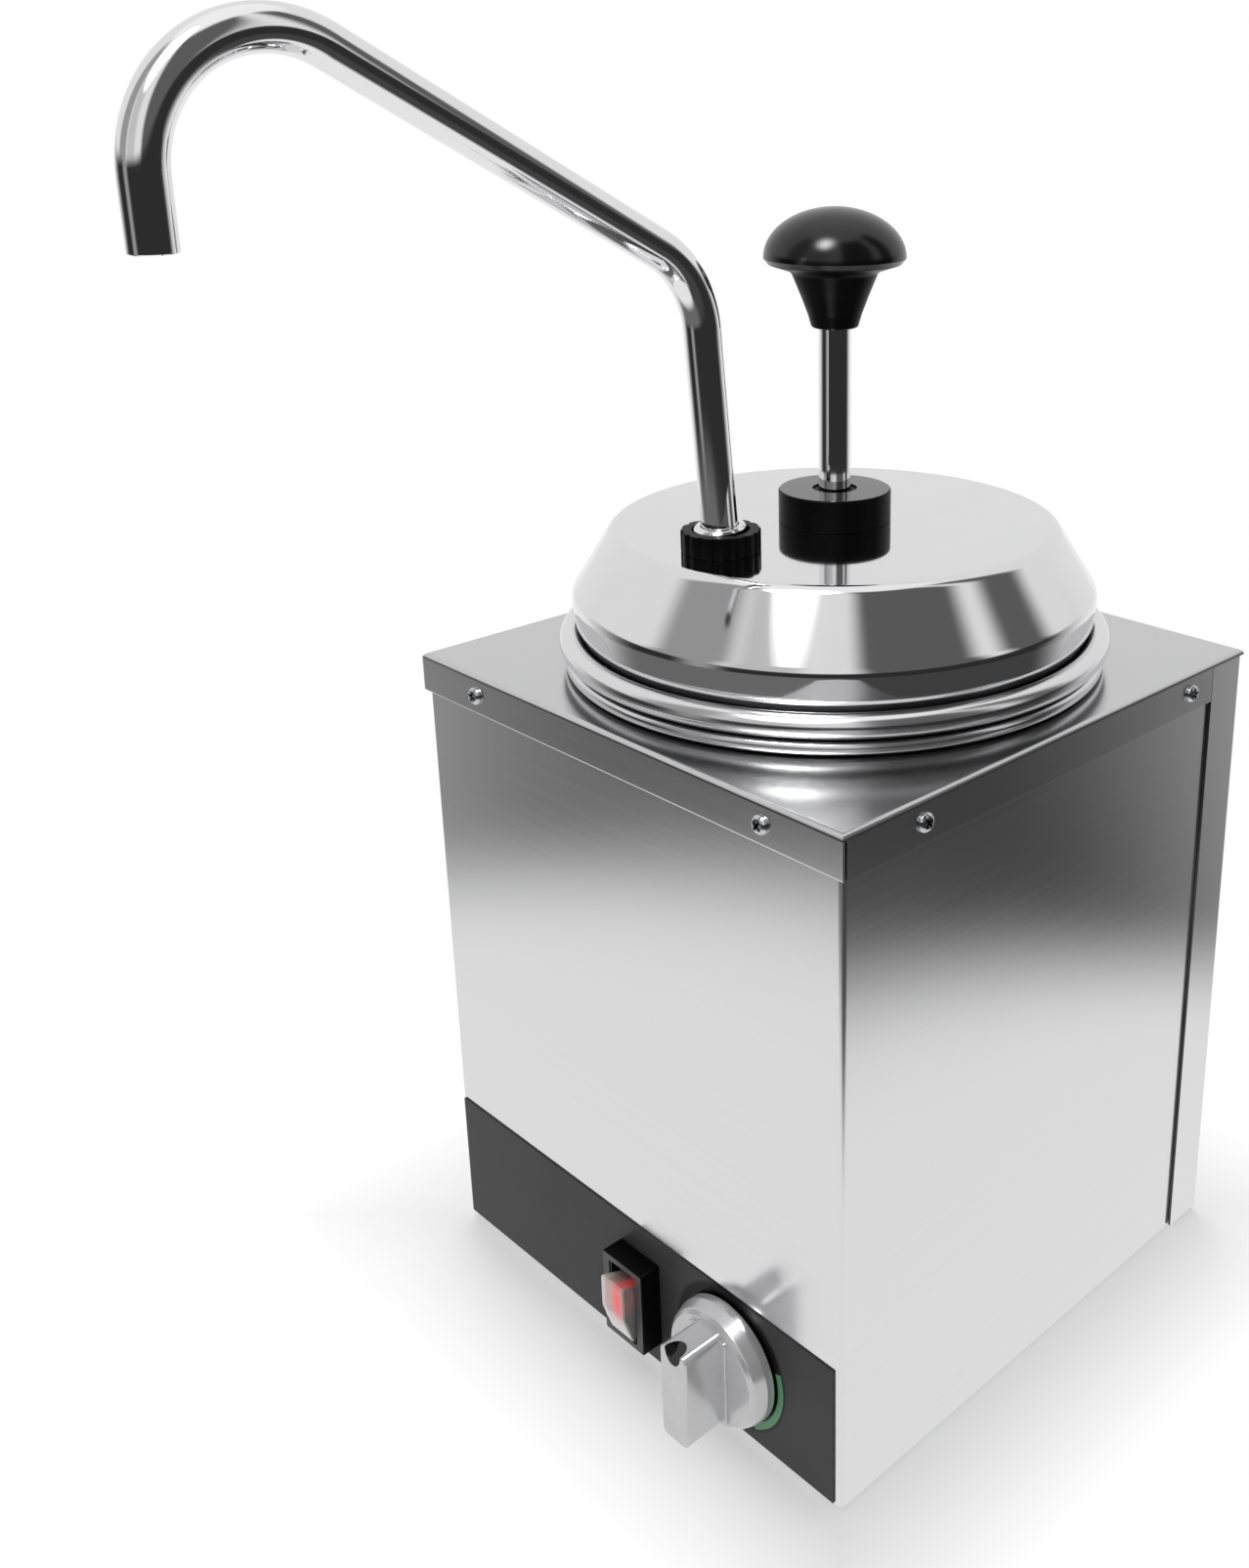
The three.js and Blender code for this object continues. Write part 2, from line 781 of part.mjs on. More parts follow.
// The knob is drawn from the front about its axis, depth outwards from the film
function thermostatKnob() {
  const skirt = turned([
    [0, skirtStandOff],
    [skirtRadius, skirtStandOff],
    [skirtRadius, skirtEdge],
    [(skirtRadius + skirtFaceRadius) / 2, skirtEdge + (skirtFace - skirtEdge) * skirtShoulderShare],
    [skirtFaceRadius, skirtFace],
    [0, skirtFace],
  ], knobSteps);
  const root = skirtFace - overrun;
  const gripShape = roundedRectangle(gripWidth / 2, gripHalfLength, gripCorner);
  const grip = raised(gripShape, root, gripStandOut);
  const ledgeX = ledgeWidth / 2;
  const ledgeTop = skirtFace + ledgeHeight;
  const ledge = block(-ledgeX, ledgeX, -ledgeHalfLength, ledgeHalfLength, root, ledgeTop);
  const hollow = cylinder(skirtHollowRadius, skirtStandOff - overrun, skirtStandOff + skirtHollowDepth);
  const hub = ring(shaftRadius + fitGap, 2 * shaftRadius, skirtStandOff, skirtFace, smallSteps);
  const roomRadius = thermostatBushRadius + fitGap;
  const bushRoom = cylinder(roomRadius, -overrun, thermostatBushReach + fitGap, smallSteps);
  const socketFloor = skirtStandOff + shaftReach + fitGap;
  const socket = cylinder(shaftRadius + fitGap, -overrun, socketFloor, smallSteps);
  const pointer = cylinder(pointerHollowRadius, -pointerHollowDepth, overrun, smallSteps);
  pointer.rotateX(-quarterTurn / 2).translate(0, gripHalfLength, gripStandOut);
  const shell = cut(joined(skirt, grip, ledge), hollow);
  return facingFront(cut(joined(shell, hub), bushRoom, socket, pointer));
}

// The side of a vessel's rim, rolled outwards from the top of its wall
function rolledRim(rimRadius, rimZ, tube) {
  return [
    ...arc(rimRadius, rimZ, tube - vesselSheet, halfTurn, rimRollEnd, rimInnerSteps),
    ...arc(rimRadius, rimZ, tube, rimRollEnd, halfTurn, rimOuterSteps),
  ];
}

function well() {
  const inside = wellRimRadius - wellBead;
  const outside = inside + vesselSheet;
  const floor = wellFloorZ;
  const shell = turned([
    [0, floor],
    ...arc(outside - wellCorner, floor + wellCorner, wellCorner, -quarterTurn, 0, bendSteps),
    ...rolledRim(wellRimRadius, wellRimZ, wellBead),
    ...arc(outside - wellCorner, floor + wellCorner, wellCorner - vesselSheet, 0, -quarterTurn, bendSteps),
    [0, floor + vesselSheet],
  ], vesselSteps);
  const stud = cylinder(studRadius, floor - studLength, floor + vesselSheet / 2, smallSteps);
  return joined(shell, stud);
}

function jar() {
  const shoulderZ = deckZ - jarShoulderDrop;
  const floor = jarFloorZ;
  const body = jarBodyRadius;
  return turned([
    [0, floor],
    ...arc(body - jarCorner, floor + jarCorner, jarCorner, -quarterTurn, 0, bendSteps),
    [body, shoulderZ - jarShoulderRise],
    [jarNeckRadius + vesselSheet, shoulderZ],
    ...rolledRim(jarRimRadius, jarRimZ, jarBead),
    [jarNeckRadius, shoulderZ],
    [body - vesselSheet, shoulderZ - jarShoulderRise],
    ...arc(body - jarCorner, floor + jarCorner, jarCorner - vesselSheet, 0, -quarterTurn, bendSteps),
    [0, floor + vesselSheet],
  ], vesselSteps);
}

// The arc that rounds the flat top into the cone
function lidShoulder(inset) {
  const drop = lidTopHeight - lidConeHeight;
  const slope = Math.atan2(drop, lidConeRadius - lidTopRadius);
  const reach = lidFillet * Math.tan(slope / 2);
  const centreZ = deckZ + lidTopHeight - lidFillet;
  return arc(lidTopRadius - reach, centreZ, lidFillet - inset, quarterTurn, quarterTurn - slope, filletSteps);
}

function lid() {
  const spigot = jarNeckRadius - lidSpigotGap;
  const spigotZ = deckZ + lidSpigotHeight;
  const coneZ = deckZ + lidConeHeight;
  const seatZ = lidSeatZ;
  const curlZ = seatZ + lidCurlHeight;
  const curlRadius = lidConeRadius - lidSkirtTaper;
  const shell = turned([
    [0, lidTopZ],
    ...lidShoulder(0),
    [lidConeRadius, coneZ],
    [curlRadius, curlZ],
    [lidSkirtRadius, seatZ],
    [spigot, seatZ],
    [spigot, spigotZ],
    [spigot - lidSheet, spigotZ],
    [spigot - lidSheet, seatZ + lidSheet],
    [lidSkirtRadius - lidSheet, seatZ + lidSheet],
    [curlRadius - lidSheet, curlZ],
    [lidConeRadius - lidSheet, coneZ],
    ...lidShoulder(lidSheet).reverse(),
    [0, lidUnderZ],
  ].reverse(), vesselSteps);
  const holeFoot = lidUnderZ - overrun;
  const holeTop = lidTopZ + overrun;
  const pumpHole = cylinder(cylinderRadius + fitGap, holeFoot, holeTop);
  const ferruleHole = cylinder(ferruleRadius + 2 * fitGap, holeFoot, holeTop, smallSteps);
  return cut(shell, pumpHole, ferruleHole.translate(0, tubeAtLidY, 0));
}

function heaterElement() {
  const offset = heaterLeadX + heaterLeadBend;
  const bendY = Math.sqrt((heaterRadius + heaterLeadBend) ** 2 - offset ** 2);
  const meet = Math.atan2(bendY, offset);
  const x = new THREE.Vector3(1, 0, 0);
  const y = new THREE.Vector3(0, 1, 0);
  const right = new THREE.Vector3(offset, bendY, heaterZ);
  const left = new THREE.Vector3(-offset, bendY, heaterZ);
  const centre = new THREE.Vector3(0, 0, heaterZ);
  const leadIn = new THREE.Vector3(heaterLeadX, heaterLeadEnd, heaterZ);
  const leadOut = new THREE.Vector3(-heaterLeadX, heaterLeadEnd, heaterZ);
  const loopEnd = -halfTurn - meet;
  const stations = [
    station(leadIn, y.clone().negate()),
    ...arcStations(right, x, y, heaterLeadBend, halfTurn, halfTurn + meet, leadSteps),
    ...arcStations(centre, x, y, heaterRadius, meet, loopEnd, heaterSteps).slice(1, -1),
    ...arcStations(left, x, y, heaterLeadBend, -meet, 0, leadSteps),
    station(leadOut, y),
  ];
  return swept(stations, circlePath(heaterTube, heaterSides));
}

function heaterPlate() {
  const top = heaterPlateZ + heaterPlateThickness;
  const plate = cylinder(heaterPlateRadius, heaterPlateZ, top, roundSteps);
  const studHole = cylinder(studRadius + fitGap, heaterPlateZ - overrun, top + overrun, smallSteps);
  const capillaryHole = cylinder(capillaryHoleRadius, heaterPlateZ - overrun, top + overrun, tinySteps);
  return cut(plate, studHole, capillaryHole.translate(capillaryDropX, bulbY, 0));
}

function heaterNut() {
  const top = heaterPlateZ - seatGap;
  const hole = cylinder(studRadius + fitGap, top - heaterNutHeight - overrun, top + overrun, smallSteps);
  return cut(hexagon(heaterNutRadius, top - heaterNutHeight, top), hole);
}

// Sensing bulb under the well, with the capillary that runs to the back of the thermostat
function capillaryBulb() {
  const bulb = cylinderAlongX(bulbRadius, bulbHalfLength, tinySteps).translate(0, bulbY, bulbZ);
  const backY = -innerHalf + seatGap + thermostatDepth + fitGap;
  const entryZ = thermostatZ + thermostatHeight / 4;
  const lowZ = heaterPlateZ - capillaryDip;
  const route = routed([
    [bulbHalfLength - bulbRadius, bulbY, bulbZ],
    [bulbHalfLength + bulbRadius, bulbY, bulbZ],
    [capillaryDropX, bulbY, heaterPlateZ + heaterPlateThickness],
    [capillaryDropX, bulbY, heaterPlateZ - bulbRadius],
    [capillaryDropX, bulbY - capillaryBend, lowZ],
    [(capillaryDropX + thermostatX) / 2, (bulbY + backY) / 2, lowZ],
    [thermostatX, backY + capillaryDip, entryZ],
    [thermostatX, backY, entryZ],
  ], capillaryRadius, capillarySteps);
  return joined(bulb, route);
}

function pumpCollar() {
  const foot = lidTopZ + seatGap;
  const chamfer = collarChamfer;
  const body = turned([
    [0, foot],
    [collarRadius, foot],
    [collarRadius, collarTopZ - chamfer],
    [collarRadius - chamfer, collarTopZ],
    [0, collarTopZ],
  ], knobSteps);
  const bore = cylinder(cylinderRadius + fitGap, foot - overrun, collarTopZ - collarTopWall);
  const rodHole = cylinder(rodRadius + fitGap, foot, collarTopZ + overrun);
  return cut(body, bore, rodHole);
}

function collarGasket() {
  return ring(cylinderRadius + fitGap, cylinderFlangeRadius, flangeTopZ + seatGap, gasketTopZ);
}

function rodBush() {
  const top = cylinderTopZ + seatGap + bushFlangeHeight;
  const under = cylinderTopZ + seatGap;
  return turned([
    [rodRadius + fitGap, under - bushLength],
    [cylinderBore - fitGap, under - bushLength],
    [cylinderBore - fitGap, under],
    [cylinderRadius, under],
    [cylinderRadius, top],
    [rodRadius + fitGap, top],
    [rodRadius + fitGap, under - bushLength],
  ]);
}

function pumpCylinder() {
  return turned([
    [cylinderBore, cylinderFootZ],
    [cylinderRadius, cylinderFootZ],
    [cylinderRadius, flangeTopZ - cylinderFlangeHeight],
    [cylinderFlangeRadius, flangeTopZ - cylinderFlangeHeight],
    [cylinderFlangeRadius, flangeTopZ],
    [cylinderRadius, flangeTopZ],
    [cylinderRadius, cylinderTopZ],
    [cylinderBore, cylinderTopZ],
    [cylinderBore, cylinderFootZ],
  ]);
}

// Points on the riser's axis, and a form drawn on Z moved onto that axis
function riserY(z) {
  return tubeAtLidY - Math.tan(tubeLean) * (z - lidTopZ);
}

function onRiser(geometry, z) {
  return geometry.rotateX(tubeLean).translate(0, riserY(z), z);
}

// Distances along the riser from the outlet ball's seat
const outletBallRise = Math.sqrt(outletBallRadius ** 2 - outletSeatBore ** 2) + fitGap;
const tubeFootRise = outletBallRise + outletBallLift + outletBallRadius;
const passageZ = inletBallZ;
const outletSeatZ = passageZ + armPassageRadius + overrun;

function riserPoint(rise) {
  const z = outletSeatZ + rise * Math.cos(tubeLean);
  return new THREE.Vector3(0, riserY(z), z);
}

// A round bore along the riser's axis, from one distance above the ball seat to another
function riserBore(radius, from, to) {
  return onRiser(cylinder(radius, from, to, smallSteps), outletSeatZ);
}

function valveBody() {
  const armEnd = riserY(passageZ);
  const armFoot = passageZ - armHeight / 2;
  const bossTop = tubeFootRise + bossSocketDepth;
  const sealRadius = tubeRadius + 2 * sealBead + 2 * fitGap;
  const cup = cylinder(cupRadius, cupFootZ, cupTopZ);
  const arm = block(-armWidth / 2, armWidth / 2, armEnd, 0, armFoot, armFoot + armHeight);
  const boss = onRiser(cylinder(bossRadius, armFoot - outletSeatZ, bossTop), outletSeatZ);
  const seatBore = cylinder(cupRadius - cupWall, cupFootZ - overrun, inletSeatZ + seatGap);
  const chamber = cylinder(inletChamberRadius, cupFootZ, cupTopZ);
  const socket = cylinder(cylinderRadius + fitGap, cupSocketZ, cupTopZ + overrun);
  const passage = cylinderAlongY(armPassageRadius, armEnd, 0).translate(0, 0, passageZ);
  const pinHole = cylinderAlongX(ballPinRadius + fitGap / 2, cupRadius + overrun, tinySteps);
  const outletBore = riserBore(outletSeatBore, -armPassageRadius - overrun, overrun);
  const outletRoom = riserBore(outletChamberRadius, 0, tubeFootRise);
  const tubeSocket = riserBore(tubeRadius + fitGap, tubeFootRise - fitGap, bossTop + overrun);
  const sealRoom = riserBore(sealRadius, bossTop - sealGrooveDepth, bossTop + overrun);
  return cut(
    joined(cup, arm, boss),
    seatBore,
    chamber,
    socket,
    passage,
    pinHole.translate(0, 0, ballPinZ),
    outletBore,
    outletRoom,
    tubeSocket,
    sealRoom,
  );
}

function inletSeat() {
  return ring(inletSeatBore, cupRadius - cupWall - fitGap, cupFootZ, inletSeatZ);
}

function inletBallPin() {
  return cylinderAlongX(ballPinRadius, cupRadius - fitGap, tinySteps);
}

function ball(radius) {
  return new THREE.SphereGeometry(radius, smallSteps, smallSteps / 2).rotateX(quarterTurn);
}

function piston() {
  const top = pistonFootZ + pistonHeight;
  const outer = cylinderBore - fitGap;
  const groove = outer - pistonGrooveDepth;
  const grooveZ = pistonFootZ + (pistonHeight - pistonGrooveHeight) / 2;
  const socket = rodRadius + fitGap;
  return turned([
    [0, pistonFootZ],
    [outer, pistonFootZ],
    [outer, grooveZ],
    [groove, grooveZ],
    [groove, grooveZ + pistonGrooveHeight],
    [outer, grooveZ + pistonGrooveHeight],
    [outer, top],
    [socket, top],
    [socket, top - pistonSocketDepth],
    [0, top - pistonSocketDepth],
  ]);
}

function pistonSeal() {
  const ease = fitGap / 2;
  const inner = cylinderBore - fitGap - pistonGrooveDepth + ease;
  const grooveZ = pistonFootZ + (pistonHeight - pistonGrooveHeight) / 2;
  return ring(inner, cylinderBore - ease, grooveZ + ease, grooveZ + pistonGrooveHeight - ease);
}

function plungerRod() {
  const foot = pistonFootZ + pistonHeight - pistonSocketDepth + fitGap;
  return cylinder(rodRadius, foot, knobFootZ + knobSocketLength);
}

function plungerKnob() {
  const waistRadius = (neckFootRadius + neckTopRadius) / 2;
  const waistZ = knobFootZ + neckHeight * neckWaistShare;
  const neckTop = knobFootZ + neckHeight;
  const rimZ = neckTop + capRimRise;
  const edgeZ = rimZ + capRimRound;
  const domeRise = knobFootZ + knobHeight - edgeZ;
  const dome = arc(0, 0, 1, 0, quarterTurn, domeSteps).slice(1);
  const socket = rodRadius + fitGap;
  const socketZ = knobFootZ + knobSocketLength + fitGap;
  return turned([
    [0, socketZ],
    [socket, socketZ],
    [socket, knobFootZ],
    [neckFootRadius - neckFootRound, knobFootZ],
    [neckFootRadius, knobFootZ + neckFootRound],
    [waistRadius, waistZ],
    [neckTopRadius, neckTop],
    [capRimRadius - capRimRound, rimZ],
    [capRimRadius, edgeZ],
    ...dome.map(([across, up]) => [capRimRadius * across, edgeZ + domeRise * up]),
  ], knobSteps);
}

function returnSpring() {
  const foot = springFootZ + springWire;
  const rise = springCompressed + plungerStroke - 2 * springWire;
  const climb = rise / (2 * halfTurn * springTurns);
  const steps = springTurns * springStepsPerTurn;
  const stations = [];
  for (let i = 0; i <= steps; i += 1) {
    const angle = 2 * halfTurn * i / springStepsPerTurn;
    const x = springRadius * Math.cos(angle);
    const y = springRadius * Math.sin(angle);
    stations.push(station(new THREE.Vector3(x, y, foot + rise * i / steps), new THREE.Vector3(-y, x, climb)));
  }
  return swept(stations, circlePath(springWire, springSides));
}

// The tube leans up from the pump's foot, bends forward, rises over the front and turns down
function dischargeTube() {
  const elbowZ = deckZ + tubeElbowHeight;
  const elbow = new THREE.Vector3(0, riserY(elbowZ), elbowZ);
  const up = new THREE.Vector3(0, -Math.sin(tubeLean), Math.cos(tubeLean));
  const out = new THREE.Vector3(0, -Math.cos(tubeSlope), Math.sin(tubeSlope));
  const down = new THREE.Vector3(0, 0, -1);
  const firstTurn = quarterTurn - tubeSlope - tubeLean;
  const secondTurn = quarterTurn + tubeSlope;
  const firstTangent = tubeBendRadius * Math.tan(firstTurn / 2);
  const firstStart = elbow.clone().addScaledVector(up, -firstTangent);
  const firstSide = new THREE.Vector3(0, -Math.cos(tubeLean), -Math.sin(tubeLean));
  const firstCentre = firstStart.clone().addScaledVector(firstSide, tubeBendRadius);
  const secondSide = new THREE.Vector3(0, -Math.sin(tubeSlope), -Math.cos(tubeSlope));
  const secondY = tubeEndY + tubeBendRadius;
  const startY = secondY - secondSide.y * tubeBendRadius;
  const secondStart = elbow.clone().addScaledVector(out, (startY - elbow.y) / out.y);
  const secondCentre = secondStart.clone().addScaledVector(secondSide, tubeBendRadius);
  const stations = [
    station(riserPoint(tubeFootRise), up),
    ...arcStations(firstCentre, firstSide.negate(), up, tubeBendRadius, 0, firstTurn, elbowSteps),
    ...arcStations(secondCentre, secondSide.negate(), out, tubeBendRadius, 0, secondTurn, crookSteps),
    station(new THREE.Vector3(0, tubeEndY, deckZ + tubeEndHeight), down),
  ];
  const section = circlePath(tubeRadius, tubeSides);
  section.holes.push(new THREE.Path(circlePath(tubeBore, tubeBoreSides).getPoints()));
  return swept(stations, section);
}

function tubeSeal() {
  const centreRise = tubeFootRise + bossSocketDepth - sealGrooveDepth + fitGap + sealBead;
  const torus = bead(tubeRadius + fitGap + sealBead, sealBead, centreRise, smallSteps, sealSides);
  return onRiser(torus, outletSeatZ);
}

// The ferrule follows the riser's lean; the nut and the lock ring stay square to the lid
function spoutFerrule() {
  const bore = tubeRadius + fitGap;
  const top = spoutNutHeight + fitGap;
  return onRiser(turned([
    [bore, -ferruleBelow],
    [ferruleRadius, -ferruleBelow],
    [ferruleRadius, top],
    [ferruleFlangeRadius, top],
    [bore + fitGap, top + ferruleFlangeHeight],
    [bore, top + ferruleFlangeHeight],
    [bore, -ferruleBelow],
  ], tubeSides), lidTopZ);
}

function spoutNut() {
  const foot = lidTopZ + seatGap;
  const top = lidTopZ + spoutNutHeight;
  const points = [];
  for (let i = 0; i < spoutNutRibs; i += 1) {
    spoutNutRibShares.forEach((share, corner) => {
      const angle = 2 * halfTurn * (i + share) / spoutNutRibs;
      const radius = corner < 2 ? spoutNutRadius : spoutNutRadius - spoutNutRibDepth;
      points.push([radius * Math.cos(angle), radius * Math.sin(angle)]);
    });
  }
  const nut = raised(outline(points), foot, top);
  const bore = cylinder(spoutNutBore, lidTopZ - overrun, top + overrun, tubeSides);
  return cut(nut, bore).translate(0, riserY((foot + top) / 2), 0);
}

function spoutLockRing() {
  const top = lidUnderZ - seatGap;
  const lock = ring(spoutNutBore, lockRingRadius, top - lockRingHeight, top, tubeSides);
  return lock.translate(0, riserY(top - lockRingHeight / 2), 0);
}

// The gland stands on the rear panel with its open bore facing +Y
function cordGland() {
  const outside = wrapHalf + seatGap;
  const domeFoot = outside + glandFlangeHeight;
  const tip = domeFoot + glandDomeHeight;
  const inside = innerHalf - glandInside;
  const body = turned([
    [glandBore, inside],
    [glandBodyRadius, inside],
    [glandBodyRadius, outside],
    [glandFlangeRadius, outside],
    [glandFlangeRadius, domeFoot],
    [glandDomeRadius, domeFoot],
    [glandTipRadius, tip],
    [glandBore, tip],
    [glandBore, inside],
  ], smallSteps);
  return body.rotateX(-quarterTurn).translate(glandX, 0, glandZ);
}

function glandNut() {
  const back = innerHalf - seatGap;
  const front = back - glandNutHeight;
  const hole = cylinder(glandBodyRadius + fitGap, front - overrun, back + overrun, smallSteps);
  const nut = cut(hexagon(glandNutRadius, front, back), hole);
  return nut.rotateX(-quarterTurn).translate(glandX, 0, glandZ);
}

function terminalBlock() {
  const foot = sheet + seatGap;
  const top = foot + blockHeight;
  const body = block(-blockWidth / 2, blockWidth / 2, -blockDepth / 2, blockDepth / 2, foot, top);
  const wells = [];
  for (let i = 0; i < blockPoles; i += 1) {
    const x = (i - (blockPoles - 1) / 2) * blockWidth / blockPoles;
    for (const side of [-1, 1]) {
      const hole = cylinder(blockScrewRadius, top - blockScrewDepth, top + overrun, tinySteps);
      wells.push(hole.translate(x, side * blockDepth / 4, 0));
    }
  }
  return cut(body, ...wells).translate(blockX, blockY, 0);
}

// Wires end just short of what they feed
function wires() {
  const poleX = (pole) => blockX + (pole - (blockPoles - 1) / 2) * blockWidth / blockPoles;
  const blockFrontY = blockY - blockDepth / 2 - fitGap;
  const blockMidZ = sheet + seatGap + blockHeight / 2;
  const switchBackY = filmY + filmThickness + sheet + seatGap + switchBodyDepth + fitGap;
  const thermostatBackY = -innerHalf + seatGap + thermostatDepth + fitGap;
  const terminalX = switchBodyWidth / 4;
  const terminalZ = switchBodyHeight / 4;
  const leadY = heaterLeadEnd + fitGap;
  return {
    wire_supply: [
      [poleX(0), blockFrontY, blockMidZ],
      [poleX(0), blockFrontY - wireSlack, blockMidZ],
      [(poleX(0) + switchX) / 2, 0, wireSlack],
      [switchX - terminalX, switchBackY + wireSlack, switchZ - terminalZ],
      [switchX - terminalX, switchBackY, switchZ - terminalZ],
    ],
    wire_switch_thermostat: [
      [switchX + terminalX, switchBackY, switchZ + terminalZ],
      [switchX + terminalX, switchBackY + wireSlack / 2, switchZ + terminalZ],
      [(switchX + thermostatX) / 2, thermostatBackY + wireSlack, switchZ],
      [thermostatX - terminalX, thermostatBackY + wireSlack / 2, thermostatZ - terminalZ],
      [thermostatX - terminalX, thermostatBackY, thermostatZ - terminalZ],
    ],
    wire_thermostat_heater: [
      [thermostatX + terminalX, thermostatBackY, thermostatZ - terminalZ],
      [thermostatX + terminalX, thermostatBackY + wireSlack, thermostatZ - terminalZ],
      [heaterPlateRadius, 0, thermostatZ],
      [heaterLeadX + wireSlack, leadY + wireSlack / 2, heaterZ - wireSlack],
      [heaterLeadX, leadY + wireSlack / 2, heaterZ],
      [heaterLeadX, leadY, heaterZ],
    ],
    wire_heater_return: [
      [-heaterLeadX, leadY, heaterZ],
      [-heaterLeadX, leadY + wireSlack / 2, heaterZ],
      [poleX(2), leadY + wireSlack / 2, heaterZ - wireSlack],
      [poleX(2), blockFrontY - wireSlack, (heaterZ + blockMidZ) / 2],
      [poleX(2), blockFrontY - wireSlack / 2, blockMidZ],
      [poleX(2), blockFrontY, blockMidZ],
    ],
  };
}

// Casing
addPiece("outer_wrap", outerWrap(), brushedSteel);
addPiece("rear_panel", rearPanel(), brushedSteel);
addPiece("top_cover", topCover(), brushedSteel);
addPiece("base_plate", basePlate(), zincSteel);
screwPlaces().forEach(({ x, y, turn }, i) => {
  const screw = addPiece(`cover_screw_${i + 1}`, coverScrew(), zincSteel);
  screw.position.set(x + seatGap * Math.sin(turn), y - seatGap * Math.cos(turn), screwZ);
  screw.rotation.z = turn;
});
footPlaces().forEach(([x, y], i) => {
  addPiece(`foot_${i + 1}`, pushInFoot(), blackRubber).position.set(x, y, 0);
});

// Controls
addPiece("control_panel", controlPanel(), darkFilm);
addPiece("switch_housing", switchHousing(), blackPlastic).position.set(switchX, filmY, switchZ);
const rocker = addPiece("switch_rocker", switchRocker(), paleLens);
rocker.position.set(switchX, filmY - bezelStandOut + rockerPivotDepth, switchZ);
addPiece("thermostat_body", thermostatBody(), zincSteel).position.set(thermostatX, 0, thermostatZ);
addPiece("thermostat_shaft", thermostatShaft(), brass).position.set(thermostatX, 0, thermostatZ);
addPiece("thermostat_knob", thermostatKnob(), satinSilver).position.set(thermostatX, filmY, thermostatZ);

// Vessels, lid and heater
addPiece("well", well(), brushedSteel);
addPiece("jar", jar(), polishedSteel);
addPiece("lid", lid(), polishedSteel);
addPiece("heater_element", heaterElement(), zincSteel);
addPiece("heater_plate", heaterPlate(), zincSteel);
addPiece("heater_nut", heaterNut(), zincSteel);
addPiece("capillary_bulb", capillaryBulb(), brass);

// Pump
addPiece("pump_collar", pumpCollar(), blackPlastic);
addPiece("collar_gasket", collarGasket(), blackRubber);
addPiece("rod_bush", rodBush(), greyPlastic);
addPiece("pump_cylinder", pumpCylinder(), brushedSteel);
addPiece("valve_body", valveBody(), greyPlastic);
addPiece("inlet_seat", inletSeat(), greyPlastic);
addPiece("inlet_ball", ball(inletBallRadius), chrome).position.set(0, 0, inletBallZ);
addPiece("inlet_ball_pin", inletBallPin(), chrome).position.set(0, 0, ballPinZ);
addPiece("outlet_ball", ball(outletBallRadius), chrome).position.copy(riserPoint(outletBallRise));
addPiece("piston", piston(), greyPlastic);
addPiece("piston_seal", pistonSeal(), blackRubber);
addPiece("plunger_rod", plungerRod(), chrome);
addPiece("plunger_knob", plungerKnob(), blackPlastic);
addPiece("return_spring", returnSpring(), chrome);

// Spout
addPiece("discharge_tube", dischargeTube(), chrome);
addPiece("tube_seal", tubeSeal(), blackRubber);
addPiece("spout_ferrule", spoutFerrule(), chrome);
addPiece("spout_nut", spoutNut(), blackPlastic);
addPiece("spout_lock_ring", spoutLockRing(), blackPlastic);

// Cord inlet and wiring
addPiece("cord_gland", cordGland(), blackPlastic);
addPiece("gland_nut", glandNut(), blackPlastic);
addPiece("terminal_block", terminalBlock(), blackPlastic);
for (const [name, points] of Object.entries(wires())) {
  addPiece(name, routed(points, wireRadius, wireSteps), wirePaint);
}

export default dispenser;
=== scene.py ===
from math import atan2, ceil, cos, degrees, hypot, pi, radians, sin, sqrt, tan
import bmesh
import bpy
from mathutils import Matrix, Vector


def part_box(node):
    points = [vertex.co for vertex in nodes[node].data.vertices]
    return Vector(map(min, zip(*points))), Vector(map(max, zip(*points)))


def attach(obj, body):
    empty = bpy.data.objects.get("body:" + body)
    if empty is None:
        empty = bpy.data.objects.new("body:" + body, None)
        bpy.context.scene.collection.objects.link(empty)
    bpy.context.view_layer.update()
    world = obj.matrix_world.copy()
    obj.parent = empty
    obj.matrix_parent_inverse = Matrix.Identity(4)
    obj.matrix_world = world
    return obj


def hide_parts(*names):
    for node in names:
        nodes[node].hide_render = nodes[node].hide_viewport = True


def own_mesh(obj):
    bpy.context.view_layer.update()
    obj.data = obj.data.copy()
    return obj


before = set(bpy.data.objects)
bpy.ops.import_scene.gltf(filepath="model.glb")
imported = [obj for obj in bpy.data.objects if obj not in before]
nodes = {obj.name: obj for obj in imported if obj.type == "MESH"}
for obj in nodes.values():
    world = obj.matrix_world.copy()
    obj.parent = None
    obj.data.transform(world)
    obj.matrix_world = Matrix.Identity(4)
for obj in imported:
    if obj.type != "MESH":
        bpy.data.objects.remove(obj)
scene = bpy.context.scene
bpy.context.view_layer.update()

# Lengths are millimetres until a mesh is made. Materials and the studio are in metres
MM = 0.001
FULL = 2 * pi
QUARTER = pi / 2
# Metres within which two points are one, and an edge has no length
SAME_POINT, NO_LENGTH = 1e-6, 1e-7


def added(name, data):
    obj = bpy.data.objects.new(name, data)
    scene.collection.objects.link(obj)
    return obj


# Camera, fitted to the photograph, with angles in degrees

# Pixels: the picture's size, the point the lens looks at squarely, and the focal length
PHOTO_WIDTH, PHOTO_HEIGHT = 1278, 1605
AXIS_X, AXIS_Y, FOCAL_LENGTH = 849.7, 612.0, 1663.6
SENSOR_WIDTH = 36
CAMERA_AZIMUTH, CAMERA_ELEVATION = 44.25, 18.26
CAMERA_PLACE = (402.1, -415.0, 463.4)


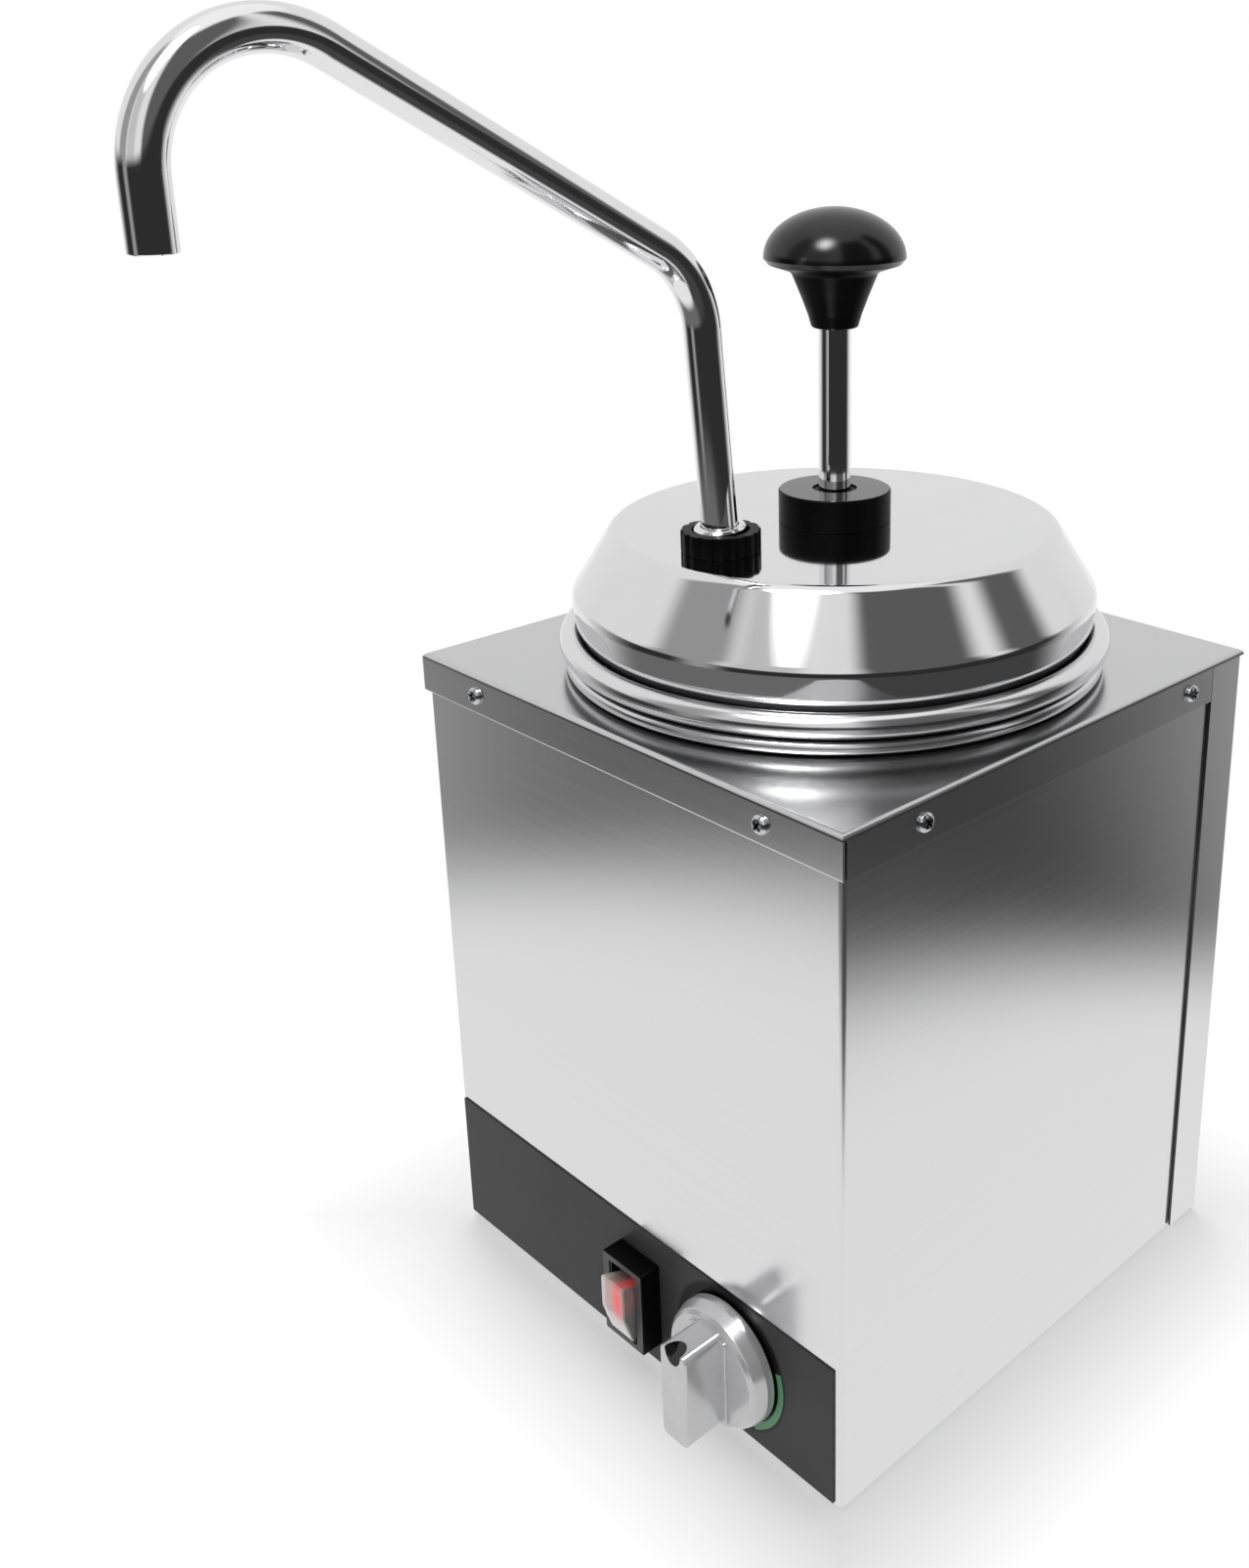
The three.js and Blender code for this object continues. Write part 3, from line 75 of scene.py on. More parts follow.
def direction(azimuth, elevation):
    """The way out from the object at two angles in radians, from its front round to its right."""
    flat = cos(elevation)
    return Vector((sin(azimuth) * flat, -cos(azimuth) * flat, sin(elevation)))


def aimed(obj, way):
    obj.rotation_mode = "QUATERNION"
    obj.rotation_quaternion = way.to_track_quat("-Z", "Y")


def add_camera():
    lens = bpy.data.cameras.new("camera")
    lens.sensor_width = SENSOR_WIDTH
    lens.lens = SENSOR_WIDTH * FOCAL_LENGTH / PHOTO_HEIGHT
    lens.shift_x = (PHOTO_WIDTH / 2 - AXIS_X) / PHOTO_HEIGHT
    lens.shift_y = -(PHOTO_HEIGHT / 2 - AXIS_Y) / PHOTO_HEIGHT
    lens.clip_start, lens.clip_end = 0.02, 60
    camera = added("camera", lens)
    aimed(camera, -direction(radians(CAMERA_AZIMUTH), radians(CAMERA_ELEVATION)))
    camera.location = Vector(CAMERA_PLACE) * MM
    scene.camera = camera


# Mesh tools

def new_object(name, points, faces, thin=False):
    """A solid of points in millimetres. thin says that edges without length go."""
    mesh = bpy.data.meshes.new(name)
    mesh.from_pydata([Vector(p) * MM for p in points], [], faces)
    shape = bmesh.new()
    shape.from_mesh(mesh)
    bmesh.ops.remove_doubles(shape, verts=shape.verts, dist=SAME_POINT)
    bmesh.ops.recalc_face_normals(shape, faces=shape.faces)
    if thin:
        bmesh.ops.dissolve_degenerate(shape, dist=NO_LENGTH, edges=shape.edges)
    shape.to_mesh(mesh)
    shape.free()
    return added(name, mesh)


def settled(obj):
    """Turns an object's modifiers into plain mesh."""
    bpy.context.view_layer.update()
    graph = bpy.context.evaluated_depsgraph_get()
    mesh = bpy.data.meshes.new_from_object(obj.evaluated_get(graph))
    obj.modifiers.clear()
    obj.data = mesh
    return obj


def combined(obj, operation, *tools):
    for tool in tools:
        step = obj.modifiers.new("join", "BOOLEAN")
        step.operation = operation
        step.object = tool
        step.solver = "EXACT"
    settled(obj)
    for tool in tools:
        bpy.data.objects.remove(tool)
    return obj


def cut(obj, *tools):
    return combined(obj, "DIFFERENCE", *tools)


def joined(obj, *tools):
    return combined(obj, "UNION", *tools)


def edged(obj, width, segments, angle):
    edge = obj.modifiers.new("edge", "BEVEL")
    edge.width = width * MM
    edge.segments = segments
    edge.limit_method = "ANGLE"
    edge.angle_limit = radians(angle)


def bevelled(obj, width, segments=3, angle=40):
    edged(obj, width, segments, angle)
    return settled(obj)


def shift(x, y, z):
    return Matrix.Translation(Vector((x, y, z)) * MM)


def spin(angle, axis):
    return Matrix.Rotation(angle, 4, axis)


# Turns a form drawn with its depth along +Z so that the depth runs outwards along -Y
FACING_FRONT = spin(QUARTER, "X")


def placed(obj, *steps):
    for step in steps:
        obj.data.transform(step)
    obj.data.update()
    return obj


def arc(x, y, radius, start, end, steps):
    angles = [start + (end - start) * k / steps for k in range(steps + 1)]
    return [(x + radius * cos(angle), y + radius * sin(angle)) for angle in angles]


def circle(centre, across, side, radius, sides):
    """Points round a centre, in the plane of two directions."""
    angles = [FULL * k / sides for k in range(sides)]
    return [tuple(centre + (across * cos(angle) + side * sin(angle)) * radius) for angle in angles]


def rounded(corners, step=12):
    """The corners' outline. A third number rounds a corner, in steps of some degrees."""
    points = []
    count = len(corners)
    for i, corner in enumerate(corners):
        here = Vector(corner[:2])
        radius = corner[2] if len(corner) > 2 else 0
        if not radius:
            points.append(tuple(here))
            continue
        before = (Vector(corners[i - 1][:2]) - here).normalized()
        after = (Vector(corners[(i + 1) % count][:2]) - here).normalized()
        half = before.angle(after) / 2
        centre = here + (before + after).normalized() * radius / sin(half)
        first = here + before * radius / tan(half) - centre
        last = here + after * radius / tan(half) - centre
        start = atan2(first.y, first.x)
        sweep = atan2(first.x * last.y - first.y * last.x, first.dot(last))
        steps = max(2, ceil(abs(degrees(sweep)) / step))
        points += arc(centre.x, centre.y, radius, start, start + sweep, steps)
    return points


def lofted(name, rings, loop=False):
    """Joins rings of equally many points. A ring of one repeated point closes an end."""
    count = len(rings[0])
    points = [point for ring in rings for point in ring]
    faces = []
    for low in range(0, len(points) if loop else len(points) - count, count):
        high = (low + count) % len(points)
        for k in range(count):
            j = (k + 1) % count
            faces.append([low + k, low + j, high + j, high + k])
    return new_object(name, points, faces, True)


def turned(name, profile, steps=96, loop=False):
    """Turns a profile of radius and height round the Z axis."""
    angles = [FULL * k / steps for k in range(steps)]
    rings = [[(r * cos(angle), r * sin(angle), height) for angle in angles] for r, height in profile]
    return lofted(name, rings, loop)


def raised(name, outline, low, high):
    count = len(outline)
    points = [(x, y, low) for x, y in outline] + [(x, y, high) for x, y in outline]
    faces = [list(range(count))[::-1], list(range(count, 2 * count))]
    faces += [[k, (k + 1) % count, count + (k + 1) % count, count + k] for k in range(count)]
    return new_object(name, points, faces)


def box(name, x0, x1, y0, y1, z0, z1):
    return raised(name, [(x0, y0), (x1, y0), (x1, y1), (x0, y1)], z0, z1)


def round_box(half_x, half_y, radius, step=12):
    signs = ((1, 1), (-1, 1), (-1, -1), (1, -1))
    return rounded([(half_x * x, half_y * y, radius) for x, y in signs], step)


def bar(name, radius, low, high, steps=48):
    return turned(name, [(0, low), (radius, low), (radius, high), (0, high)], steps)


def ball(name, radius, steps=48):
    return turned(name, arc(0, 0, radius, -QUARTER, QUARTER, steps // 2), steps)


def from_axis(point):
    return hypot(point.x, point.y)


def second_material(obj, material, chosen):
    """Gives faces chosen by centre (mm) and normal another material than the piece's own: a second finish
    on some pieces, painted shade in gaps and hollows on others.
    """
    obj.data.materials.clear()
    obj.data.materials.append(None)
    obj.data.materials.append(material)
    for face in obj.data.polygons:
        face.material_index = 1 if chosen(face.center / MM, face.normal) else 0


def piece(obj, body, material, replaced=(), sharp=35):
    """Shades a finished piece, gives it its material and lets it ride on its body."""
    if not obj.data.materials:
        obj.data.materials.append(None)
    obj.data.materials[0] = material
    obj.data.shade_smooth()
    obj.data.set_sharp_from_angle(angle=radians(sharp))
    normals = obj.modifiers.new("normals", "WEIGHTED_NORMAL")
    normals.keep_sharp = True
    normals.weight = 100
    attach(obj, body)
    if replaced:
        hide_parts(*replaced)


# Material tools

def add_node(tree, kind, inputs=(), **settings):
    """Adds a node. An input is linked where its value is a socket, and set otherwise."""
    made = tree.nodes.new(kind)
    for key, value in settings.items():
        setattr(made, key, value)
    for key, value in dict(inputs).items():
        if isinstance(value, bpy.types.NodeSocket):
            tree.links.new(value, made.inputs[key])
        else:
            made.inputs[key].default_value = value
    return made


def empty_tree(owner):
    owner.use_nodes = True
    owner.node_tree.nodes.clear()
    return owner.node_tree


class Surface:
    """A material, with the texture nodes that feed its shader."""

    def __init__(self, name, color, roughness, metallic=0.0, **sockets):
        self.material = bpy.data.materials.new(name)
        self.material.use_nodes = True
        self.tree = self.material.node_tree
        self.shader = self.tree.nodes["Principled BSDF"]
        sockets.update(Base_Color=(*color, 1), Roughness=roughness, Metallic=metallic)
        for key, value in sockets.items():
            self.shader.inputs[key.replace("_", " ")].default_value = value

    def node(self, kind, inputs=(), **settings):
        return add_node(self.tree, kind, inputs, **settings)

    def place(self):
        return self.node("ShaderNodeTexCoord").outputs["Object"]

    def axes(self):
        return self.node("ShaderNodeSeparateXYZ", {0: self.place()}).outputs

    def math(self, operation, *values):
        return self.node("ShaderNodeMath", dict(enumerate(values)), operation=operation).outputs[0]

    def length(self, first, second):
        squares = [self.math("MULTIPLY", value, value) for value in (first, second)]
        return self.math("SQRT", self.math("ADD", *squares))

    def scaled(self, vector, x, y, z):
        return self.node("ShaderNodeVectorMath", {0: vector, 1: (x, y, z)}, operation="MULTIPLY").outputs[0]

    def noise(self, vector, scale=1.0, detail=3.0, roughness=0.5):
        inputs = {"Vector": vector, "Scale": scale, "Detail": detail, "Roughness": roughness}
        return self.node("ShaderNodeTexNoise", inputs).outputs["Fac"]

    def ranged(self, value, low, high, to_low, to_high):
        inputs = {"Value": value, "From Min": low, "From Max": high, "To Min": to_low, "To Max": to_high}
        return self.node("ShaderNodeMapRange", inputs, clamp=True).outputs["Result"]

    def blended(self, share, first, second):
        """Mixes two colours, by the mix node's sockets for colours: 6 and 7 in, 2 out."""
        inputs = {0: share}
        for key, value in ((6, first), (7, second)):
            inputs[key] = value if isinstance(value, bpy.types.NodeSocket) else (*value, 1)
        return self.node("ShaderNodeMix", inputs, data_type="RGBA").outputs[2]

    def varied(self, noise, to_low=0, to_high=1, low=0.3):
        """Stretches the range that a noise mostly fills to another one."""
        return self.ranged(noise, low, 0.7, to_low, to_high)

    def link(self, value, socket):
        self.tree.links.new(value, self.shader.inputs[socket])

    def bump(self, height, depth):
        inputs = {"Height": height, "Distance": depth, "Strength": 1.0}
        self.link(self.node("ShaderNodeBump", inputs).outputs["Normal"], "Normal")

    def finished(self, color, roughness, height, depth):
        self.link(color, "Base Color")
        self.link(roughness, "Roughness")
        self.bump(height, depth)
        return self.material


def grey(value):
    return (value, value, value)


def toned(color, factor):
    return tuple(min(1, channel * factor) for channel in color)


def brushed(name, color, streaks, roughness=0.26, spread=0.05, tone=0.05, depth=0.00001, anisotropic=0.4):
    """Brushed steel: fine scratches one way, with broad cloudy wear. streaks scales X, Y and Z."""
    made = Surface(name, color, roughness, 1.0, Anisotropic=anisotropic)
    grain = made.noise(made.scaled(made.place(), *streaks), 1.0, 4.0, 0.65)
    cloud = made.noise(made.place(), 14.0, 3.0)
    streaky = made.blended(made.varied(grain), toned(color, 1 - tone), toned(color, 1 + tone))
    worn = made.math("ADD", made.math("MULTIPLY", grain, 0.6), made.math("MULTIPLY", cloud, 0.4))
    rough = made.varied(worn, roughness - spread, roughness + spread)
    return made.finished(streaky, rough, grain, depth)


def sheet_steel(name, color, streaks, roughness, tone=0.01):
    """Smooth sheet, brushed so finely that it mirrors softly in every direction."""
    return brushed(name, color, streaks, roughness, 0.02, tone, 0.0000004, 0.0)


def polished(name, color, roughness=0.06, spread=0.03, swirls=220, tone=0.02, depth=0.000002):
    """Polished metal: nearly a mirror, with faint polishing swirls and smudges."""
    made = Surface(name, color, roughness, 1.0)
    swirl = made.noise(made.scaled(made.place(), swirls, swirls, swirls), 1.0, 3.0, 0.6)
    smudge = made.noise(made.place(), 30.0, 4.0, 0.6)
    smudged = made.blended(made.varied(smudge, low=0.35), color, toned(color, 1 - tone))
    rough = made.ranged(smudge, 0.35, 0.75, roughness, roughness + spread)
    return made.finished(smudged, rough, swirl, depth)


def moulded(name, color, roughness=0.25, spread=0.06, grain=0.00002, size=900.0, tone=0.25, shine=0.5):
    """Moulded plastic or rubber: a very fine grain, slight colour clouds and rubbed patches."""
    made = Surface(name, color, roughness, 0.0, Specular_IOR_Level=shine)
    speck = made.noise(made.place(), size, 3.0, 0.6)
    cloud = made.noise(made.place(), 40.0, 3.0)
    cloudy = made.blended(made.varied(cloud, low=0.35), color, toned(color, 1 + tone))
    rough = made.varied(cloud, roughness - spread, roughness + spread)
    return made.finished(cloudy, rough, speck, grain)


# Materials

VESSEL_STREAKS = (40, 40, 900)

case_steel = sheet_steel("case_steel", (0.76, 0.76, 0.77), (5, 5, 900), 0.18)
cover_steel = sheet_steel("cover_steel", (0.62, 0.62, 0.63), (8, 900, 300), 0.20, 0.012)
base_steel = brushed("base_steel", (0.55, 0.56, 0.57), (30, 700, 700), 0.4)
well_steel = sheet_steel("well_steel", (0.72, 0.72, 0.73), VESSEL_STREAKS, 0.20)
# Near-black steel for faces in the cover's slits and seams, under the rolled rims and at the lid's lower
# edge: painted shade in the gaps between parts
painted_gap_shade = polished("painted_gap_shade", (0.10, 0.10, 0.102), 0.3, 0.1, 300, 0.2, 0.000001)
jar_steel = sheet_steel("jar_steel", (0.78, 0.78, 0.79), VESSEL_STREAKS, 0.18)
lid_steel = polished("lid_steel", (0.80, 0.80, 0.81), 0.05, 0.03)
chrome = polished("chrome", (0.84, 0.84, 0.85), 0.05, 0.02)
pump_steel = brushed("pump_steel", (0.70, 0.70, 0.71), (300, 300, 1500), 0.2)
screw_zinc = polished("screw_zinc", (0.62, 0.63, 0.64), 0.12, 0.06, 900, 0.12, 0.000003)
hidden_zinc = polished("hidden_zinc", (0.52, 0.53, 0.54), 0.34, 0.1, 400, 0.2, 0.00001)
brass = polished("brass", (0.62, 0.42, 0.15), 0.25, 0.1, 500, 0.2, 0.00001)
black_gloss = moulded("black_gloss", (0.0015, 0.0015, 0.0018), 0.18, 0.03, 0.000001)
black_satin = moulded("black_satin", (0.0025, 0.0025, 0.003), 0.34, 0.06, 0.000006, shine=0.06)
# Glossy black: a real finish on the collar's top, and painted shade in the dial's pointer notch
black_polish_and_notch_shade = moulded("black_polish_and_notch_shade", (0.006, 0.006, 0.007), 0.14, 0.04, 0.000002, shine=1.0)
black_face = moulded("black_face", grey(0.085), 0.36, 0.05, 0.000008, shine=0.2)
# Dark zinc for the screws' cross recesses: painted shade in the hollows
painted_recess_shade = polished("painted_recess_shade", (0.05, 0.05, 0.052), 0.3, 0.1, 900, 0.2, 0.000004)
rubber = moulded("rubber", grey(0.012), 0.6, 0.1, 0.00004, 700.0)
grey_moulding = moulded("grey_moulding", (0.30, 0.31, 0.32), 0.42, 0.06, 0.00003, 600.0, 0.1)
wire_cover = moulded("wire_cover", (0.15, 0.02, 0.015), 0.5, 0.08, 0.00002, 900.0)
green_print = moulded("green_print", (0.07, 0.30, 0.12), 0.4, 0.05, 0.00001, 2200.0, 0.15)


def silver_material():
    """The dial's satin finish, with faint clouds."""
    made = Surface("satin_silver", (0.66, 0.66, 0.67), 0.2, 0.4)
    speck = made.noise(made.place(), 1500.0, 2.0, 0.6)
    cloud = made.varied(made.noise(made.place(), 60.0, 3.0), low=0.35)
    cloudy = made.blended(cloud, (0.68, 0.68, 0.69), (0.63, 0.63, 0.64))
    return made.finished(cloudy, made.varied(speck, 0.18, 0.22), speck, 0.0000003)


# The panel film's surface, and the dial's and the switch's places on it
FILM_Y = -109.45
SWITCH_X, SWITCH_Z = 6.2, 27.9
DIAL_X, DIAL_Z = 55, 29.5
# The black ring's edge fades out between these radii, in metres
RING_EDGE = (0.0270, 0.0285)


def film_material():
    """The panel's dark film, with a black ring round the dial."""
    made = Surface("film", grey(0.06), 0.34, 0.0, Specular_IOR_Level=0.1)
    across, _, up = made.axes()
    speck = made.noise(made.place(), 2200.0, 3.0, 0.6)
    cloud = made.noise(made.place(), 30.0, 3.0)
    cloudy = made.blended(made.varied(cloud), grey(0.050), grey(0.064))
    dx = made.math("SUBTRACT", across, DIAL_X * MM)
    dz = made.math("SUBTRACT", up, DIAL_Z * MM)
    # Blackens the film in a ring round the dial, fading out between the two radii of RING_EDGE
    ring = made.ranged(made.length(dx, dz), *RING_EDGE, 1, 0)
    ringed_film = made.blended(ring, cloudy, grey(0.004))
    return made.finished(ringed_film, made.varied(cloud, 0.30, 0.38), speck, 0.000004)


satin_silver = silver_material()
film = film_material()


def lens_material():
    """The rocker's clear lens, with the lamp's glow right of its middle, painted shade down its right side
    and a painted shadow across its top.
    """
    x, z = SWITCH_X * MM, SWITCH_Z * MM
    made = Surface("pale_lens", (0.8, 0.69, 0.66), 0.14, 0.0, Coat_Weight=0.4, Coat_Roughness=0.05)
    across, _, up = made.axes()
    # Each part fades in or out between two distances from the lens's middle
    left = made.ranged(across, x - 0.0052, x - 0.0028, 1, 0)
    # Painted shade down the lens's right side
    right = made.ranged(across, x + 0.0050, x + 0.0064, 0, 1)
    # cap is a painted shadow across the lens's top, under the bezel's upper edge
    cap = made.ranged(up, z + 0.0118, z + 0.0126, 0, 1)
    low = made.ranged(up, z - 0.0105, z - 0.0045, 1, 0)
    glow_x, glow_z, half_width, half_height = x + 0.0030, z + 0.0050, 0.0032, 0.0085
    dx = made.math("DIVIDE", made.math("SUBTRACT", across, glow_x), half_width)
    dz = made.math("DIVIDE", made.math("SUBTRACT", up, glow_z), half_height)
    glow = made.ranged(made.length(dx, dz), 0.2, 1.3, 1, 0)
    speck = made.noise(made.scaled(made.place(), 900, 900, 260), 1.0, 2.0)
    body = made.blended(made.varied(speck), (0.66, 0.42, 0.38), (0.74, 0.52, 0.48))
    shares = (low, glow, left, right, cap)
    # Colours in the order of the shares: a paler foot, the lamp's red glow, a pale band at the left, the
    # painted shade at the right and the painted shadow at the top
    colors = ((0.82, 0.80, 0.78), (0.85, 0.05, 0.07), (0.80, 0.82, 0.78))
    colors += ((0.24, 0.25, 0.23), (0.02, 0.012, 0.012))
    for share, color in zip(shares, colors):
        body = made.blended(share, body, color)
    made.link(body, "Base Color")
    made.bump(speck, 0.00001)
    # The lamp's glow stops at the painted shadow across the top
    below_cap = made.math("SUBTRACT", 1.0, cap)
    emitted = made.blended(made.math("MULTIPLY", glow, below_cap), (0, 0, 0), (0.9, 0.05, 0.06))
    made.link(emitted, "Emission Color")
    made.shader.inputs["Emission Strength"].default_value = 0.35
    return made.material


# Casing

COVER_HALF, WRAP_HALF, INNER_HALF = 110, 108.8, 107.8
DECK_Z, WRAP_TOP, COVER_FOOT, SCREW_Z = 251.6, 249.6, 236.4, 243.8
SHEET, BEND = 1, 2
WELL_HOLE = 96.4
# The seam between the wrap and the rear panel, and the slit beside the front flange
SEAM_Y = 88.8
SLIT_FRONT, SLIT_BACK = -109, -108.3
# A tool that cuts through a wall starts inside it and ends outside it
INSIDE_WALL, OUTSIDE_WALL = 106, 112
GLAND_X, GLAND_Z = -62, 34
# A face is square to an axis if its normal's part along it is more than this
STRAIGHT = 0.9


def cover_shell(name, half, top, bend, foot, side_lip, front_lip):
    """The cover's outside or inside: two crossing profiles, for the sides and for front and rear."""
    halves = []
    for lip in (side_lip, front_lip):
        edge = arc(half - lip, foot + lip, lip, -QUARTER, 0, 6)
        right = edge + arc(half - bend, top - bend, bend, 0, QUARTER, 8)
        outline = right + [(-x, y) for x, y in right[::-1]]
        halves.append(placed(raised(name, outline, -COVER_HALF - 1, COVER_HALF + 1), FACING_FRONT))
    placed(halves[1], spin(QUARTER, "Z"))
    return combined(halves[0], "INTERSECT", halves[1])


# Faces in the cover's slits and at its rear notches, which get painted shade
def in_cover_gap(centre, normal):
    in_slit = SLIT_FRONT - 0.05 < centre.y < SLIT_BACK + 0.05
    at_seam = normal.y > STRAIGHT and abs(centre.y - SEAM_Y) < 1
    return abs(centre.x) > INNER_HALF and (in_slit or at_seam)


def build_cover():
    cover = cover_shell("steel_top_cover", COVER_HALF, DECK_Z, BEND, COVER_FOOT, 0.03, 0.95)
    inner = cover_shell("inner", COVER_HALF - SHEET, DECK_Z - SHEET, BEND - SHEET, COVER_FOOT - 1, 0.1, 0.1)
    gaps = [bar("hole", WELL_HOLE, COVER_FOOT, DECK_Z + 1, 128)]
    low, high = COVER_FOOT - 1, DECK_Z - BEND
    for side in (-1, 1):
        left, right = sorted((side * INNER_HALF, side * (COVER_HALF + 1)))
        gaps.append(box(f"slit_{side}", left, right, SLIT_FRONT, SLIT_BACK, low, high))
        gaps.append(box(f"notch_{side}", left, right, SEAM_Y - 0.3, COVER_HALF + 1, low, high))
    cut(cover, inner, *gaps)
    second_material(cover, painted_gap_shade, in_cover_gap)
    piece(cover, "warmer", cover_steel, ["top_cover"], 30)


def folded_outline(half_x, end):
    """A sheet folded round three sides, open at the back. end is where its sides stop."""
    outer = [(-half_x, end), (-half_x, -WRAP_HALF, BEND), (half_x, -WRAP_HALF, BEND), (half_x, end)]
    in_x, in_y, bend = half_x - SHEET, WRAP_HALF - SHEET, BEND - SHEET
    inner = [(in_x, end), (in_x, -in_y, bend), (-in_x, -in_y, bend), (-in_x, end)]
    return rounded(outer + inner, 10)


def build_wrap():
    wrap = raised("steel_outer_wrap", folded_outline(WRAP_HALF, SEAM_Y + 5), 0, WRAP_TOP)
    x, z, wide, tall = SWITCH_X, SWITCH_Z, 9.6, 15.5
    switch_hole = box("switch_hole", x - wide, x + wide, -OUTSIDE_WALL, -INSIDE_WALL, z - tall, z + tall)
    shaft_hole = bar("shaft_hole", 4.9, INSIDE_WALL, OUTSIDE_WALL)
    placed(shaft_hole, FACING_FRONT, shift(DIAL_X, 0, DIAL_Z))
    cut(wrap, switch_hole, shaft_hole)
    piece(wrap, "warmer", case_steel, ["outer_wrap"], 30)


def build_rear():
    rear = raised("steel_rear_panel", folded_outline(COVER_HALF, -SEAM_Y), 0, WRAP_TOP - 0.05)
    placed(rear, spin(pi, "Z"))
    length, width, pitch, vent_x, vent_z = 36, 4, 12, 26, 181
    vent_shape = round_box(length / 2, width / 2, width / 2 - 0.01, 20)
    tools = []
    for side in (-1, 1):
        for k in range(5):
            vent = raised(f"vent_{side}_{k}", vent_shape, -3, 3)
            height = vent_z + (k - 2) * pitch
            tools.append(placed(vent, spin(QUARTER, "X"), shift(side * vent_x, WRAP_HALF, height)))
    gland_hole = bar("gland_hole", 6.3, 104, OUTSIDE_WALL)
    tools.append(placed(gland_hole, spin(-QUARTER, "X"), shift(GLAND_X, 0, GLAND_Z)))
    cut(rear, *tools)
    # The rear panel's edges at the seam get painted shade, for the dark gap there
    second_material(rear, painted_gap_shade, lambda centre, normal: normal.y < -STRAIGHT and centre.y < SEAM_Y + 1)
    piece(rear, "warmer", case_steel, ["rear_panel"], 30)


def screw_head():
    """A pan-head screw that points up, with a cross recess."""
    shank, edge, crown, foot = 1.6, 3.3, 1.9, -4
    corners = [(shank, 0), (edge, 0, 0.15), (edge, 0.75, 0.5), (2.3, crown, 1.6), (0, crown)]
    head = turned("head", [(0, foot), (shank, foot), (shank, 0)] + rounded(corners, 10), 48)
    arms = [raised(f"arm_{k}", round_box(2.0, 0.45, 0.2, 30), 0.85, 3) for k in range(2)]
    placed(arms[1], spin(QUARTER, "Z"))
    dimple = turned("dimple", [(0, 0.5), (0.95, crown), (1.0, 3), (0, 3)], 24)
    cut(head, *arms, dimple)
    # The cross recess gets painted shade
    second_material(head, painted_recess_shade, lambda centre, _: 0.4 < centre.z < 1.75 and from_axis(centre) < 2.1)
    return placed(head, spin(QUARTER, "X"))


def build_screws():
    """Two screws on each side of the flange, each left at its own turn in degrees."""
    head = screw_head()
    front_x, side_y, turns = 75.5, 74, (20, -35, 65, 10, 40, -15, 80, 30)
    places = []
    for x, y in ((-front_x, -side_y), (front_x, side_y)):
        places += [(x, -COVER_HALF, 0), (COVER_HALF, y, QUARTER)]
        places += [(-x, COVER_HALF, pi), (-COVER_HALF, -y, -QUARTER)]
    for k, (x, y, turn) in enumerate(places):
        screw = added(f"pan_head_screw_{k + 1}", head.data.copy())
        gap = direction(turn, 0) * 0.05
        placed(screw, spin(radians(turns[k]), "Y"), spin(turn, "Z"), shift(x + gap.x, y + gap.y, SCREW_Z))
        piece(screw, "warmer", screw_zinc, [f"cover_screw_{k + 1}"])
    bpy.data.objects.remove(head)


def build_feet():
    """Push-in feet: a round pad below the base and a barb through it."""
    place, ground, base, neck, top = 80.8, -3, -0.05, 3.2, 3.9
    pad = [(0, ground), (10, ground, 0.6), (11, base, 0.4), (neck, base)]
    barb = [(neck, 1.3), (4.4, 1.3), (neck, top), (0, top)]
    profile = rounded(pad + barb, 15)
    for k, (x, y) in enumerate([(x, y) for y in (-place, place) for x in (-place, place)]):
        foot = placed(turned(f"rubber_foot_{k + 1}", profile, 64), shift(x, y, 0))
        piece(foot, "warmer", rubber, [f"foot_{k + 1}"])


# Controls

# The switch's bezel stands out this far, and the rocker turns this far below its face
BEZEL_DEPTH, PIVOT_DEPTH = 8.9, 4
ROCKER_TILT = radians(9)


def build_switch():
    above = BEZEL_DEPTH + 1
    bezel = bevelled(raised("switch_bezel", round_box(11.1, 17.6, 0.9), 0.05, BEZEL_DEPTH), 0.5, 4)
    body = box("body", -9.3, 9.3, -15.2, 15.2, -18.65, 4.4)
    joined(bezel, body)
    hollow = raised("hollow", round_box(6.8, 14.3, 0.6), -3.1, above)
    mouth = raised("mouth", round_box(7.5, 15.0, 0.9), 8.3, above)
    pivot = placed(bar("pivot", 1.9, -7.8, 7.8), spin(QUARTER, "Y"), shift(0, 0, BEZEL_DEPTH - PIVOT_DEPTH))
    cut(bezel, hollow, mouth, pivot)
    second_material(bezel, black_face, lambda centre, normal: normal.z > STRAIGHT and centre.z > 8)
    placed(bezel, FACING_FRONT, shift(SWITCH_X, FILM_Y, SWITCH_Z))
    piece(bezel, "warmer", black_satin, ["switch_housing"])


def build_rocker():
    half_length, half_width, ridge = 13.2, 6.5, 9.0
    end = ridge - half_length * tan(ROCKER_TILT)
    face = [(ridge, 0, 9), (end, half_length, 0.9)]
    profile = rounded(face + [(-4, 7), (-4, -7), (end, -half_length, 0.9)], 4)
    rocker = bevelled(raised("rocker_lens", profile, -half_width, half_width), 0.7, 4, 50)
    placed(rocker, spin(-QUARTER, "Y"), FACING_FRONT)
    pin = placed(bar("pin", 1.6, -7.5, 7.5, 32), spin(QUARTER, "Y"))
    joined(rocker, pin)
    pivot_y = FILM_Y - BEZEL_DEPTH + PIVOT_DEPTH
    placed(rocker, spin(ROCKER_TILT, "X"), shift(SWITCH_X, pivot_y, SWITCH_Z))
    piece(rocker, "rocker", lens_material(), ["switch_rocker"])


